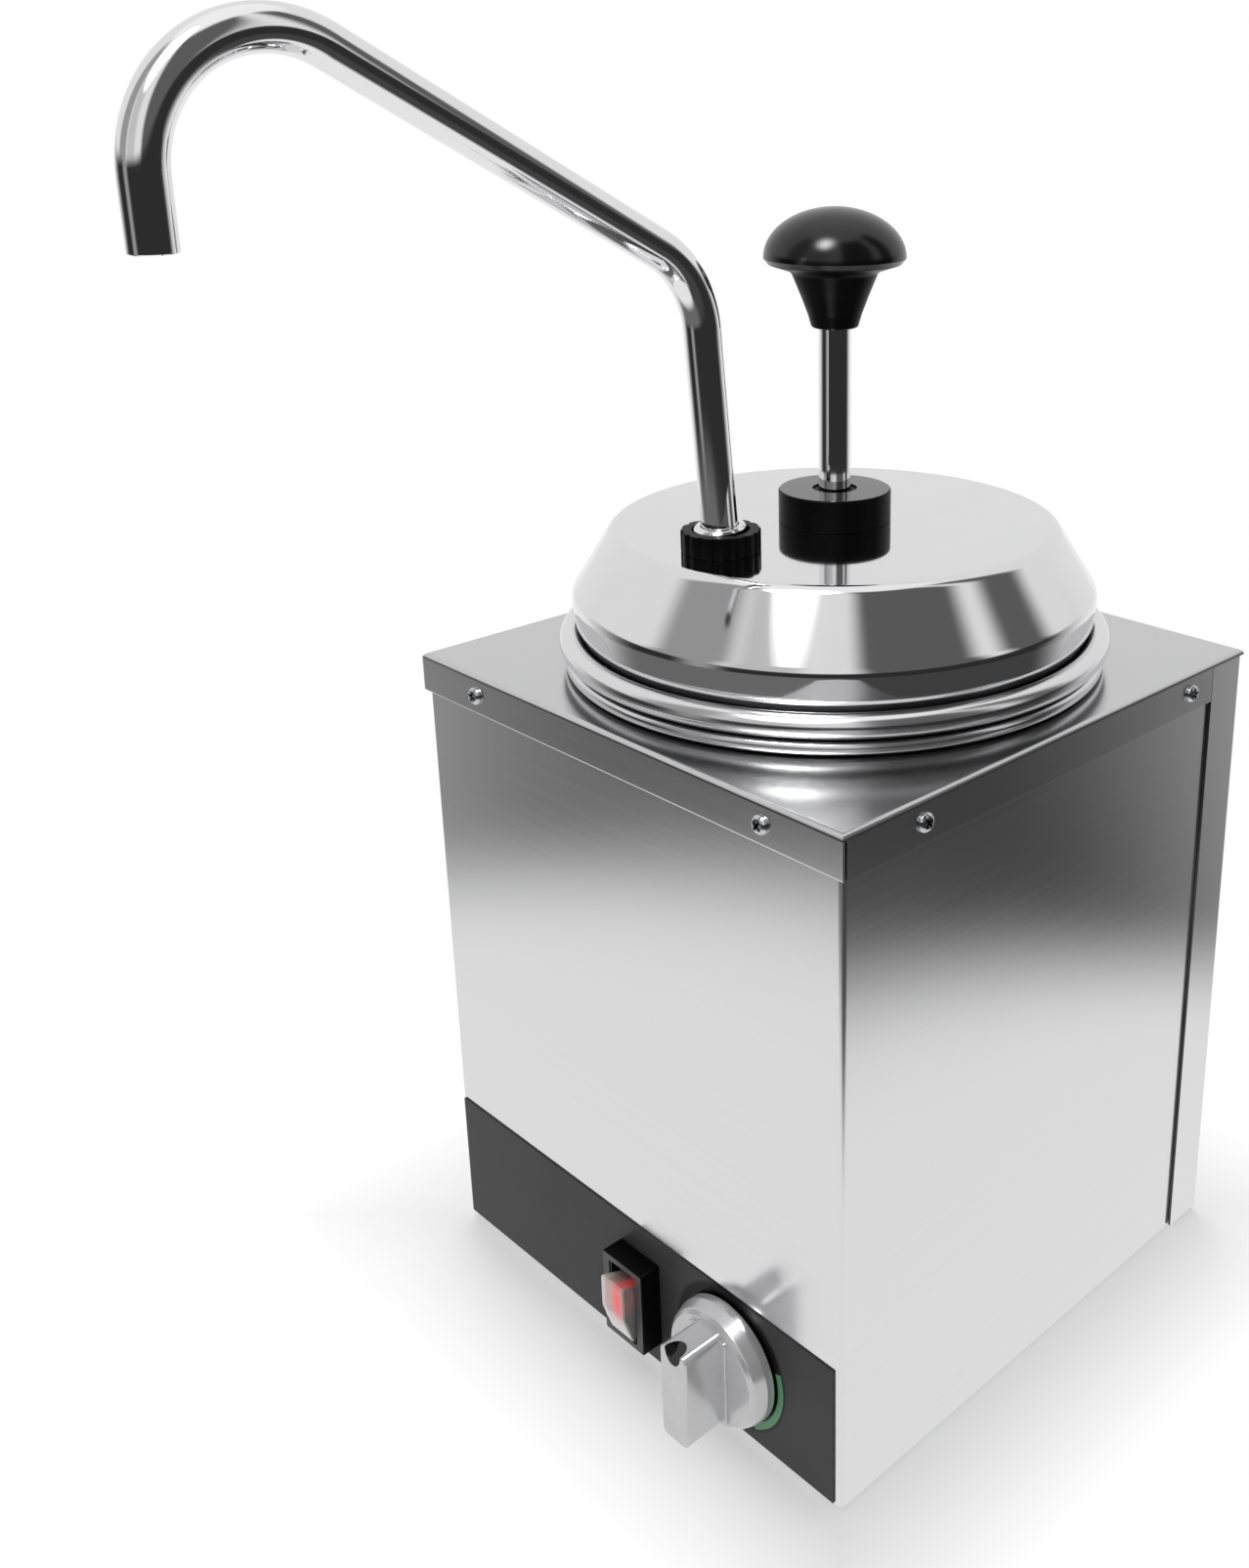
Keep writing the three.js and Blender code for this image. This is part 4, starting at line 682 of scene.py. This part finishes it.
def build_dial():
    radius, skirt_top, grip_end, grip_top = 23.7, 9.6, 19.2, 26
    wall = [(0, 0.8), (radius, 0.8, 0.4), (radius, 4, 1.2)]
    top = [(22.15, 8.2, 1.5), (20.6, skirt_top, 0.8), (0, skirt_top)]
    skirt = turned("dial_knob", rounded(wall + top, 8), 128)
    ledge = bevelled(raised("ledge", round_box(9.3, 17.5, 1.2), 8.6, 10.8), 0.35, 3)
    grip = bevelled(raised("grip", round_box(6.7, grip_end, 3, 8), 8.6, grip_top), 0.7, 4, 50)
    joined(skirt, ledge, grip)
    hollow = bar("hollow", 19, -0.2, 5.8, 96)
    socket = bar("socket", 3.3, -1, 18.1, 32)
    room = bar("room", 4.9, -1, 3.3, 32)
    pointer = placed(bar("pointer", 4, -4, 1, 48), spin(-QUARTER / 2, "X"), shift(0, grip_end, grip_top))
    cut(skirt, hollow, socket, room, pointer)
    notch = Vector((0, grip_end, grip_top))
    notch_axis = Vector((0, 0.7071, 0.7071))

    # The pointer's notch in the silver dial is painted black, as the shade in the hollow
    def in_notch(centre, normal):
        along = normal.dot(notch_axis)
        return (centre - notch).length < 6.2 and (abs(along - 1) < 0.02 or abs(along) < 0.05)

    second_material(skirt, black_polish_and_notch_shade, in_notch)
    placed(skirt, FACING_FRONT, shift(DIAL_X, FILM_Y, DIAL_Z))
    piece(skirt, "thermostat_dial", satin_silver, ["thermostat_knob"], 30)


def build_print():
    """The green mark on the film, a print round the dial's right side."""
    inner, outer, thickness, steps = 24.4, 27.0, 0.06, 40
    start, end = radians(-62), radians(18)
    outline = arc(0, 0, outer, start, end, steps) + arc(0, 0, inner, end, start, steps)
    mark = raised("green_mark", outline, 0.0, thickness)
    placed(mark, FACING_FRONT, shift(DIAL_X, FILM_Y - 0.01, DIAL_Z))
    piece(mark, "warmer", green_print)


# Vessels and lid

VESSEL_WALL = 0.8
# Rolled rims: radius and height of the roll's middle, and the roll's own radius
WELL_RIM = (97.85, 254.45, 2.75)
JAR_RIM = (98, 261.9, 4.4)
# The gap that touching pieces keep
GAP = 0.3
LID_TOP, LID_TOP_RADIUS = 303.5, 81.7
PUMP_BORE = 16.3
# Where the spout's leaning riser goes through the lid's top
SPOUT_Y = -55.9
RISER_LEAN = radians(4.8535)


def rolled(radius, height, tube):
    end = radians(-100)
    inside = arc(radius, height, tube - VESSEL_WALL, pi, end, 16)
    return inside + arc(radius, height, tube, end, pi, 28)


def vessel(name, floor, corner, bend_radius, steps, neck, rim):
    """A round vessel of one sheet. neck lists the outside's points between the wall and the rim."""
    bend_z = floor + corner
    outside = arc(bend_radius, bend_z, corner, -QUARTER, 0, steps) + neck
    inside = [(x - VESSEL_WALL, z) for x, z in neck[::-1]]
    inside += arc(bend_radius, bend_z, corner - VESSEL_WALL, 0, -QUARTER, steps)
    return turned(name, [(0, floor)] + outside + rolled(*rim) + inside + [(0, floor + VESSEL_WALL)], 160)


# Faces of the well's rim under the jar's roll, which get painted shade
def under_well_rim(centre, normal):
    turned_in = normal.z < -0.55 and from_axis(centre) > 97
    return centre.z > 251 and (normal.z > 0.86 or turned_in)


# The underside and inner side of the jar's roll, which get painted shade for the gaps against the well's
# rim and the lid
def under_jar_rim(centre, normal):
    return centre.z > 257 and (normal.z < -0.62 or from_axis(centre) < 96.4)


def build_vessels():
    well = vessel("steel_well", 66, 10, 85.9, 8, [], WELL_RIM)
    stud = bar("stud", 3, 49, 66.4)
    joined(well, stud)
    second_material(well, painted_gap_shade, under_well_rim)
    piece(well, "warmer", well_steel, ["well"])
    jar = vessel("steel_jar", 78.8, 12, 74, 10, [(86, 232.6), (94.4, 239.6)], JAR_RIM)
    second_material(jar, painted_gap_shade, under_jar_rim)
    piece(jar, "jar", jar_steel, ["jar"])


def build_lid():
    drop, run, shoulder_radius = 24.4, 15.3, 5
    slope = atan2(drop, run)
    reach = shoulder_radius * tan(slope / 2)
    edge, edge_z = LID_TOP_RADIUS + run, LID_TOP - drop
    skirt, skirt_foot = 92.8, 255.6
    # The lid's rim rests inside the top of the jar's roll, this far from the roll's middle
    roll_z, roll = JAR_RIM[1:]
    seat = roll_z + sqrt(roll ** 2 - 3.8 ** 2) + GAP

    def shoulder(inset):
        height = LID_TOP - shoulder_radius
        return arc(LID_TOP_RADIUS - reach, height, shoulder_radius - inset, QUARTER, QUARTER - slope, 10)

    cone = [(LID_TOP_RADIUS, LID_TOP), (edge, edge_z, 6), (96.2, seat + 5.5, 4), (94.2, seat, 0.3)]
    foot = [(skirt, seat), (skirt, skirt_foot), (skirt - 1, skirt_foot), (skirt - 1, seat + 1)]
    inside = [(93.2, seat + 1), (95.2, seat + 5.5), (edge - 1, edge_z), (LID_TOP_RADIUS - 1, LID_TOP)]
    lower = rounded(cone + foot + inside, 8)[1:-1]
    profile = [(0, LID_TOP)] + shoulder(0) + lower + shoulder(1)[::-1] + [(0, LID_TOP - 1)]
    lid = turned("steel_lid", profile[::-1], 192)
    low, high = LID_TOP - 2.5, LID_TOP + 1.5
    pump_hole = bar("pump_hole", PUMP_BORE, low, high, 64)
    spout_hole = placed(bar("spout_hole", 9.2, low, high, 48), shift(0, SPOUT_Y, 0))
    cut(lid, pump_hole, spout_hole)
    # The lid's lower edge inside the jar's roll gets painted shade, for the dark gap there
    second_material(lid, painted_gap_shade, lambda centre, _: centre.z < seat + 1.6 and from_axis(centre) > 92.2)
    piece(lid, "lid_pump", lid_steel, ["lid"])


# Pump

def build_collar():
    radius, foot, top = 20.6, 303.55, 315.35
    corners = [(0, foot), (radius, foot, 0.3), (radius, top, 0.9), (0, top)]
    collar = turned("pump_collar_cap", rounded(corners, 10), 128)
    bore = bar("bore", PUMP_BORE, 302, 311.75, 64)
    hole = bar("rod_hole", 6.15, 303, 317, 48)
    recess = bar("recess", 8.2, top - 0.6, 317, 64)
    cut(collar, bore, hole, recess)
    second_material(collar, black_polish_and_notch_shade, lambda centre, normal: normal.z > STRAIGHT and centre.z > 315)
    piece(collar, "lid_pump", black_satin, ["pump_collar"])


def build_rod():
    foot, top = 199.0, 388.95
    rod = bar("plunger_shaft", 5.85, foot, top, 64)
    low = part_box("plunger_rod")[0]
    placed(rod, shift(0, 0, low.z / MM - foot))
    piece(rod, "plunger", chrome, ["plunger_rod"])


def build_knob():
    radius, rim_z, dome_rise, socket, foot = 25.2, 398.25, 17.5, 6.15, 373.95
    hole = [(0, 389.25), (socket, 389.25)]
    neck = [(socket, foot), (8.25, foot, 1.2), (9.6, 378.6, 8), (11.9, 384.7, 14)]
    underside = [(15.55, 393.55, 3.0), (23.6, 396.2, 1.5), (radius, rim_z)]
    angles = [QUARTER * k / 20 for k in range(21)]
    dome = [(radius * cos(angle), rim_z + dome_rise * sin(angle)) for angle in angles]
    knob = turned("push_knob", hole + rounded(neck + underside, 8)[:-1] + dome, 128)
    second_material(knob, black_satin, lambda centre, normal: centre.z < 396.5)
    piece(knob, "plunger", black_gloss, ["plunger_knob"])


def spring_rings(foot, rise, radius, wire, turns, per_turn=40, sides=12):
    climb = rise / (FULL * turns)
    rings = []
    for k in range(turns * per_turn + 1):
        angle = FULL * k / per_turn
        out = Vector((cos(angle), sin(angle), 0))
        along = Vector((-radius * sin(angle), radius * cos(angle), climb)).normalized()
        side = along.cross(out)
        centre = out * radius + Vector((0, 0, foot + rise * k / (turns * per_turn)))
        if k == 0:
            rings.append([tuple(centre)] * sides)
        rings.append(circle(centre, out, side, wire, sides))
    rings.append([tuple(centre)] * sides)
    return rings


def build_spring():
    low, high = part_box("return_spring")
    foot, top = low.z / MM, high.z / MM
    spring = lofted("wound_spring", spring_rings(foot + 1, top - foot - 2, 11.3, 0.95, 6))
    piece(spring, "lid_pump", chrome, ["return_spring"])
    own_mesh(spring)


def riser_y(z):
    return SPOUT_Y - tan(RISER_LEAN) * (z - LID_TOP)


def on_riser(obj, z):
    """Moves a form from the Z axis to the leaning riser."""
    return placed(obj, spin(RISER_LEAN, "X"), shift(0, riser_y(z), z))


# The inlet ball's middle, and the height at which the valve's passage meets the riser
BALL_Z, PASSAGE_Z = 95.59, 95.5904
PASSAGE_RADIUS, ARM_HALF = 3.5, 7.5
INLET_BALL, OUTLET_BALL = 6.5, 5.6
# The outlet ball's seat, and how far above it along the riser the tube starts
SEAT_HOLE, BALL_LIFT = 4, 2.5
seat_z = PASSAGE_Z + PASSAGE_RADIUS + 1
tube_rise = sqrt(OUTLET_BALL ** 2 - SEAT_HOLE ** 2) + GAP + BALL_LIFT + OUTLET_BALL

# The spout's slope after the elbow, and the radius of its axis in both bends
SPOUT_SLOPE, SPOUT_BEND = radians(28.9), 35
TUBE_OUTSIDE, TUBE_INSIDE = 6.35, 5.15


def bend_stations(centre, side, along, turn, steps):
    stations = []
    for k in range(steps + 1):
        angle = turn * k / steps
        point = centre - side * SPOUT_BEND * cos(angle) + along * SPOUT_BEND * sin(angle)
        stations.append((point, along * cos(angle) + side * sin(angle)))
    return stations


def tube_stations():
    """Points and directions along the tube's axis, in the plane X = 0."""
    foot_z = seat_z + tube_rise * cos(RISER_LEAN)
    elbow_z, mouth_y, mouth_z = 398.6, -240.4, 418.6
    elbow = Vector((0, riser_y(elbow_z), elbow_z))
    up = Vector((0, -sin(RISER_LEAN), cos(RISER_LEAN)))
    out = Vector((0, -cos(SPOUT_SLOPE), sin(SPOUT_SLOPE)))
    first_turn = QUARTER - SPOUT_SLOPE - RISER_LEAN
    second_turn = QUARTER + SPOUT_SLOPE
    start = elbow - up * SPOUT_BEND * tan(first_turn / 2)
    side = Vector((0, -cos(RISER_LEAN), -sin(RISER_LEAN)))
    stations = [(Vector((0, riser_y(foot_z), foot_z)), up)]
    stations += bend_stations(start + side * SPOUT_BEND, side, up, first_turn, 16)
    side = Vector((0, -sin(SPOUT_SLOPE), -cos(SPOUT_SLOPE)))
    start_y = mouth_y + SPOUT_BEND - side.y * SPOUT_BEND
    start = elbow + out * ((start_y - elbow.y) / out.y)
    stations += bend_stations(start + side * SPOUT_BEND, side, out, second_turn, 36)
    stations.append((Vector((0, mouth_y, mouth_z)), Vector((0, 0, -1))))
    return stations


def build_tube():
    def ring(point, along, radius):
        across = Vector((1, 0, 0))
        return circle(point, across, along.cross(across), radius, 64)

    stations = tube_stations()
    end, down = stations[-1]
    outer = [ring(point, along, TUBE_OUTSIDE) for point, along in stations[:-1]]
    outer += [ring(end - down * 0.3, down, TUBE_OUTSIDE), ring(end, down, TUBE_OUTSIDE - 0.3)]
    inner = [ring(end, down, TUBE_INSIDE + 0.25), ring(end - down * 0.25, down, TUBE_INSIDE)]
    inner += [ring(point, along, TUBE_INSIDE) for point, along in stations[:-1][::-1]]
    tube = lofted("spout_tube", outer + inner, True)
    piece(tube, "lid_pump", chrome, ["discharge_tube"])


def build_ferrule():
    bore = TUBE_OUTSIDE + GAP
    wall = [(bore, -9), (8.6, -9, 0.3), (8.6, 7.9)]
    lip = [(9.4, 7.9, 0.3), (8.3, 9.25, 0.8), (6.85, 9.4, 0.2), (bore, 9.2)]
    ferrule = turned("spout_collet", rounded(wall + lip, 10), 96, True)
    on_riser(ferrule, LID_TOP)
    piece(ferrule, "lid_pump", chrome, ["spout_ferrule"])


# One rib of the nut and the groove after it: share of the step from rib to rib, and radius
RIB = ((0.0, 13.8), (0.25, 13.85), (0.5, 13.8), (0.58, 13.45), (0.66, 13.15), (0.84, 13.15), (0.92, 13.45))
RIBS = 16


def build_nut():
    low, high = 303.55, 311.1
    outline = []
    for k in range(RIBS):
        for share, radius in RIB:
            angle = FULL * k / RIBS + FULL / RIBS * share
            outline.append((radius * cos(angle), radius * sin(angle)))
    nut = bevelled(raised("ribbed_nut", outline, low, high), 0.4, 3, 60)
    cut(nut, bar("nut_bore", 10.05, low - 1.55, high + 1.9, 64))
    placed(nut, shift(0, riser_y((low + high) / 2), 0))
    piece(nut, "lid_pump", black_satin, ["spout_nut"], 40)


def build_barrel():
    low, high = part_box("pump_cylinder")
    foot, top = low.z / MM, high.z / MM
    inside, outside, flange, flange_low, flange_high = 14, 16, 21, 296.9, 300.9
    wall = [(inside, foot), (outside, foot, 0.4), (outside, flange_low, 0.8)]
    collar = [(flange, flange_low, 0.4), (flange, flange_high, 0.4), (outside, flange_high)]
    profile = rounded(wall + collar + [(outside, top, 0.3), (inside, top, 0.3)], 15)
    barrel = turned("pump_barrel", profile, 96, True)
    piece(barrel, "lid_pump", pump_steel, ["pump_cylinder"])


def valve_tools(foot, top, arm_end, boss_top):
    """The valve's bores: on the pump's axis, then up the riser."""
    tools = [
        bar("seat_bore", 14, foot - 1, 90.65, 64),
        bar("chamber", 9, foot, top, 64),
        bar("socket", PUMP_BORE, 107.69, top + 1, 64),
        placed(bar("passage", PASSAGE_RADIUS, 0, -arm_end, 32), spin(QUARTER, "X"), shift(0, 0, BALL_Z)),
        placed(bar("pin_hole", 1.15, -20, 20, 24), spin(QUARTER, "Y"), shift(0, 0, 106.39)),
    ]
    for name, radius, low, high in (
        ("outlet_bore", SEAT_HOLE, -4.5, 1), ("outlet_room", 6.2, 0, tube_rise),
        ("tube_socket", TUBE_OUTSIDE + GAP, tube_rise - 0.3, boss_top + 1),
        ("seal_room", 9.35, boss_top - 3, boss_top + 1),
    ):
        tools.append(on_riser(bar(name, radius, low, high, 48), seat_z))
    return tools


def build_valve():
    foot, top, radius, boss_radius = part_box("valve_body")[0].z / MM, 122.7, 19, 11.5
    corners = [(0, foot), (radius, foot, 0.8), (radius, top, 0.8), (0, top)]
    cup = turned("valve_foot", rounded(corners, 15), 96)
    arm_end = riser_y(BALL_Z)
    arm_low, arm_high = BALL_Z - ARM_HALF, BALL_Z + ARM_HALF
    arm = bevelled(box("arm", -8.5, 8.5, arm_end, 0, arm_low, arm_high), 1.5, 4)
    boss_low, boss_top = arm_low - seat_z, tube_rise + 12
    boss_corners = [(0, boss_low), (boss_radius, boss_low, 1), (boss_radius, boss_top, 0.8), (0, boss_top)]
    boss = on_riser(turned("boss", rounded(boss_corners, 15), 72), seat_z)
    joined(cup, arm, boss)
    cut(cup, *valve_tools(foot, top, arm_end, boss_top))
    piece(cup, "lid_pump", grey_moulding, ["valve_body"])


def build_seat():
    hole, radius, low, high = 4.5, 13.7, 83.6, 90.6
    corners = [(hole, low), (radius, low, 0.4), (radius, high), (hole + 0.8, high), (hole, high - 0.8)]
    seat = turned("inlet_seat_ring", rounded(corners, 15), 72, True)
    piece(seat, "lid_pump", grey_moulding, ["inlet_seat"])


def build_balls():
    inlet = placed(ball("inlet_valve_ball", INLET_BALL), shift(0, 0, BALL_Z))
    piece(inlet, "inlet_ball", chrome, ["inlet_ball"])
    low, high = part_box("outlet_ball")
    outlet = placed(ball("outlet_valve_ball", OUTLET_BALL), shift(*(low + high) / 2 / MM))
    piece(outlet, "outlet_ball", chrome, ["outlet_ball"])


def build_lock():
    inside, outside, low, high = 10.05, 13, 298.45, 302.45
    corners = [(inside, low), (outside, low, 0.5), (outside, high), (inside, high)]
    lock = turned("spout_lock", rounded(corners, 15), 72, True)
    placed(lock, shift(0, riser_y((low + high) / 2), 0))
    piece(lock, "lid_pump", black_satin, ["spout_lock_ring"])


def build_gland():
    """The cord's inlet at the rear, drawn upright and laid back."""
    bore, thread, flange, low, high = 3.8, 6, 10, 108.85, 112.85
    inner_end, outer_end = 96.8, 124.85
    inside = [(bore, inner_end), (thread, inner_end), (thread, low)]
    ring = [(flange, low, 0.3), (flange, high, 0.6), (8.6, high, 0.4)]
    outside = [(8.3, 117.0, 3), (thread, outer_end, 0.8), (bore, outer_end, 0.5)]
    gland = turned("cord_inlet_gland", rounded(inside + ring + outside, 10), 72, True)
    notches = []
    for k in range(10):
        notch = box(f"notch_{k}", 9.5, 12, -0.9, 0.9, 109.6, 114)
        notches.append(placed(notch, spin(FULL * k / 10, "Z")))
    cut(gland, *notches)
    placed(gland, spin(-QUARTER, "X"), shift(GLAND_X, 0, GLAND_Z))
    piece(gland, "warmer", black_satin, ["cord_gland"])


# CAD nodes that stay

KEPT = (
    (base_steel, ["base_plate"]),
    (film, ["control_panel"]),
    (hidden_zinc, ["thermostat_body", "heater_element", "heater_plate", "heater_nut"]),
    (brass, ["thermostat_shaft", "capillary_bulb"]),
    (rubber, ["collar_gasket", "piston_seal", "tube_seal"]),
    (grey_moulding, ["rod_bush", "piston"]),
    (chrome, ["inlet_ball_pin"]),
    (black_satin, ["gland_nut", "terminal_block"]),
    (wire_cover, ["wire_supply", "wire_switch_thermostat", "wire_thermostat_heater", "wire_heater_return"]),
)


def dress_kept():
    for material, names in KEPT:
        for obj in [nodes[name] for name in names]:
            if not obj.material_slots:
                obj.data.materials.append(material)
            for place in obj.material_slots:
                place.material = material
    edged(nodes["base_plate"], 0.2, 2, 50)


# Studio: floor, light and what the steel reflects, in metres

# Light is 0 for black and 1 for white. Directions are degrees to the right of the camera's
FLOOR_Z = -3.0 * MM
WALL_RADIUS, WALL_CENTRE_Z = 2.6, 0.25
WALL_LIGHT = 0.85
WALL_FOOT, WALL_HEAD = -8, 68
# Darker cards on the wall: direction of the middle, width, light
CARDS = [(-66, 34, 0.35), (38, 54, 0.12), (90, 24, 0.12), (-30, 30, 0.60)]
CARD_EDGE = 12
TABLE_LIGHT = 0.92
# Cloths on the floor beyond the table, left and right of the camera: soft edge, light
LEFT_CLOTH = (0.38, 0.54, 0.16)
RIGHT_CLOTH = (0.29, 0.42, 0.06)
CLOTH_REACH, CLOTH_SIDE = 109, 22
# The room between the cloths and the foot of the wall
ROOM_LIGHT, ROOM_EDGE, ROOM_HEAD = 0.03, (0.8, 1.1), 9
# A pale door in the room, left of the camera: direction, width, light
DOOR = (-56, 30, 0.35)


def emitter(name):
    """A material that glows in the greys of its mesh's glow attribute."""
    material = bpy.data.materials.new(name)
    tree = empty_tree(material)
    source = add_node(tree, "ShaderNodeAttribute", attribute_name="glow")
    light = add_node(tree, "ShaderNodeEmission", {"Color": source.outputs["Color"]})
    add_node(tree, "ShaderNodeOutputMaterial", {"Surface": light.outputs[0]})
    return material


def glowing_grid(name, rows, columns, place, light):
    """A grid that only reflections show. place and light give each corner's point and its grey."""
    width = columns + 1
    corners = [(i, j) for i in range(rows + 1) for j in range(width)]
    firsts = [i * width + j for i in range(rows) for j in range(columns)]
    faces = [[first, first + 1, first + width + 1, first + width] for first in firsts]
    mesh = bpy.data.meshes.new(name)
    mesh.from_pydata([place(i, j) for i, j in corners], [], faces)
    layer = mesh.attributes.new("glow", "FLOAT_COLOR", "POINT")
    for k, (i, j) in enumerate(corners):
        layer.data[k].color = (*grey(light(i, j)), 1)
    mesh.materials.append(emitter(name))
    obj = added(name, mesh)
    for ray in ("camera", "diffuse", "shadow", "transmission", "volume_scatter"):
        setattr(obj, f"visible_{ray}", False)


def eased(value, low, high):
    """Rises smoothly from 0 at low to 1 at high."""
    share = min(1, max(0, (value - low) / (high - low)))
    return share * share * (3 - 2 * share)


def mixed(first, second, share):
    return first + (second - first) * share


# The wall and the table have a column for each degree, the middle one below the camera
COLUMNS = 360


def studio_point(column, flat, z):
    azimuth = radians(CAMERA_AZIMUTH + column - COLUMNS / 2)
    return (sin(azimuth) * flat, -cos(azimuth) * flat, z)


def within_reach(offset):
    """1 where the cloths and the room lie round the camera, and 0 behind the object."""
    return 1 - eased(abs(offset), CLOTH_REACH - CLOTH_SIDE, CLOTH_REACH + CLOTH_SIDE)


def room_light(offset):
    middle, width, pale = DOOR
    return mixed(ROOM_LIGHT, pale, 1 - eased(abs(offset - middle), 0, width / 2))


def add_wall():
    rows, room_edge, head_edge = 38, 3, 10

    def height(i):
        return WALL_FOOT + (WALL_HEAD - WALL_FOOT) * i / rows

    def place(i, j):
        elevation = radians(height(i))
        level = WALL_RADIUS * sin(elevation) + WALL_CENTRE_Z
        return studio_point(j, WALL_RADIUS * cos(elevation), level)

    def light(i, j):
        value, offset = WALL_LIGHT, j - COLUMNS / 2
        for middle, width, card in CARDS:
            inside = (width + CARD_EDGE) / 2 - abs(offset - middle)
            value = mixed(value, card, eased(inside, 0, CARD_EDGE))
        room = eased(ROOM_HEAD - height(i), -room_edge, room_edge) * within_reach(offset)
        value = mixed(value, room_light(offset), room)
        return mixed(value, 1.0, eased(height(i), WALL_HEAD - head_edge, WALL_HEAD))

    glowing_grid("studio_wall", rows, COLUMNS, place, light)


def add_table():
    """The floor as the steel sees it: a round white table, and two dark cloths beyond it."""
    rows, start, lift, overlap = 80, 0.06, 0.4 * MM, 15

    def radius(i):
        return start * (WALL_RADIUS / start) ** (i / rows)

    def place(i, j):
        return studio_point(j, radius(i), FLOOR_Z + lift)

    def light(i, j):
        offset = j - COLUMNS / 2
        right = eased(offset, -overlap, overlap)
        near, far, cloth = (mixed(a, b, right) for a, b in zip(LEFT_CLOTH, RIGHT_CLOTH))
        cloth = mixed(cloth, room_light(offset), eased(radius(i), *ROOM_EDGE))
        return mixed(TABLE_LIGHT, cloth, eased(radius(i), near, far) * within_reach(offset))

    glowing_grid("studio_table", rows, COLUMNS, place, light)


def add_softbox():
    """A soft oval light high in front, for the highlights."""
    rows, columns = 16, 48
    offset, elevation, distance, rise = -23, 57, 1.6, 0.35
    reach, narrow, rim, peak = 0.60, 0.72, 0.9, 20.0
    out = direction(radians(CAMERA_AZIMUTH) + radians(offset), radians(elevation))
    across = Vector((0, 0, 1)).cross(out).normalized()
    up = out.cross(across)
    middle = out * distance + Vector((0, 0, rise))

    def place(i, j):
        angle = FULL * j / columns
        return middle + (across * cos(angle) * narrow + up * sin(angle)) * reach * i / rows

    def light(i, _):
        return rim + peak * (1 - eased(i / rows, 0.0, 1.0))

    glowing_grid("studio_softbox", rows, columns, place, light)


def seen_share(tree):
    """1 for a ray from the camera, off a shiny surface or through glass, and 0 for any other."""
    path = add_node(tree, "ShaderNodeLightPath")
    share = path.outputs["Is Camera Ray"]
    for kind in ("Is Glossy Ray", "Is Transmission Ray"):
        both = {0: share, 1: path.outputs[kind]}
        share = add_node(tree, "ShaderNodeMath", both, operation="MAXIMUM").outputs[0]
    return share


def add_floor():
    """A matt floor, shaded beside the case and pure white to the eye beyond its shadow."""
    half, shadow_start, shadow_end, least_white = 14.0, 0.106, 0.165, 0.32
    corners = [(-half, -half), (half, -half), (half, half), (-half, half)]
    mesh = bpy.data.meshes.new("floor")
    mesh.from_pydata([(x, y, FLOOR_Z) for x, y in corners], [], [[0, 1, 2, 3]])
    made = Surface("floor", grey(0.92), 0.9, Specular_IOR_Level=0.0)
    across, deep, _ = made.axes()
    beside = made.math("MAXIMUM", made.math("ABSOLUTE", across), made.math("ABSOLUTE", deep))
    clear = made.ranged(beside, shadow_start, shadow_end, least_white, 1.0)
    share = made.math("MULTIPLY", seen_share(made.tree), clear)
    white = made.node("ShaderNodeEmission", {"Color": (1, 1, 1, 1), "Strength": 1.0})
    both = made.node("ShaderNodeMixShader", {0: share, 1: made.shader.outputs[0], 2: white.outputs[0]})
    made.tree.links.new(both.outputs[0], made.tree.nodes["Material Output"].inputs["Surface"])
    mesh.materials.append(made.material)
    floor = added("floor", mesh)


def add_world():
    """White where it is seen or mirrored, and a softer grey where it only lights."""
    world = bpy.data.worlds.new("studio")
    scene.world = world
    tree = empty_tree(world)
    soft = add_node(tree, "ShaderNodeBackground", {"Color": (*grey(0.62), 1)})
    white = add_node(tree, "ShaderNodeBackground", {"Color": (1, 1, 1, 1)})
    both = {0: seen_share(tree), 1: soft.outputs[0], 2: white.outputs[0]}
    shader = add_node(tree, "ShaderNodeMixShader", both)
    add_node(tree, "ShaderNodeOutputWorld", {"Surface": shader.outputs[0]})


def add_lamp():
    place, target = Vector((-0.9, 0.5, 1.7)), Vector((0, 0, 0.1))
    data = bpy.data.lights.new("key", "AREA")
    data.shape = "DISK"
    data.size = 1.2
    data.energy = 10
    lamp = added("key", data)
    lamp.location = place
    aimed(lamp, target - place)
    lamp.visible_glossy = False
    lamp.visible_camera = False


scene.view_settings.view_transform = "Standard"
add_camera()
build_cover()
build_wrap()
build_rear()
build_screws()
build_feet()
build_switch()
build_rocker()
build_dial()
build_print()
build_vessels()
build_lid()
build_collar()
build_rod()
build_knob()
build_spring()
build_tube()
build_ferrule()
build_nut()
build_barrel()
build_valve()
build_seat()
build_balls()
build_lock()
build_gland()
dress_kept()
add_floor()
add_world()
add_wall()
add_table()
add_softbox()
add_lamp()
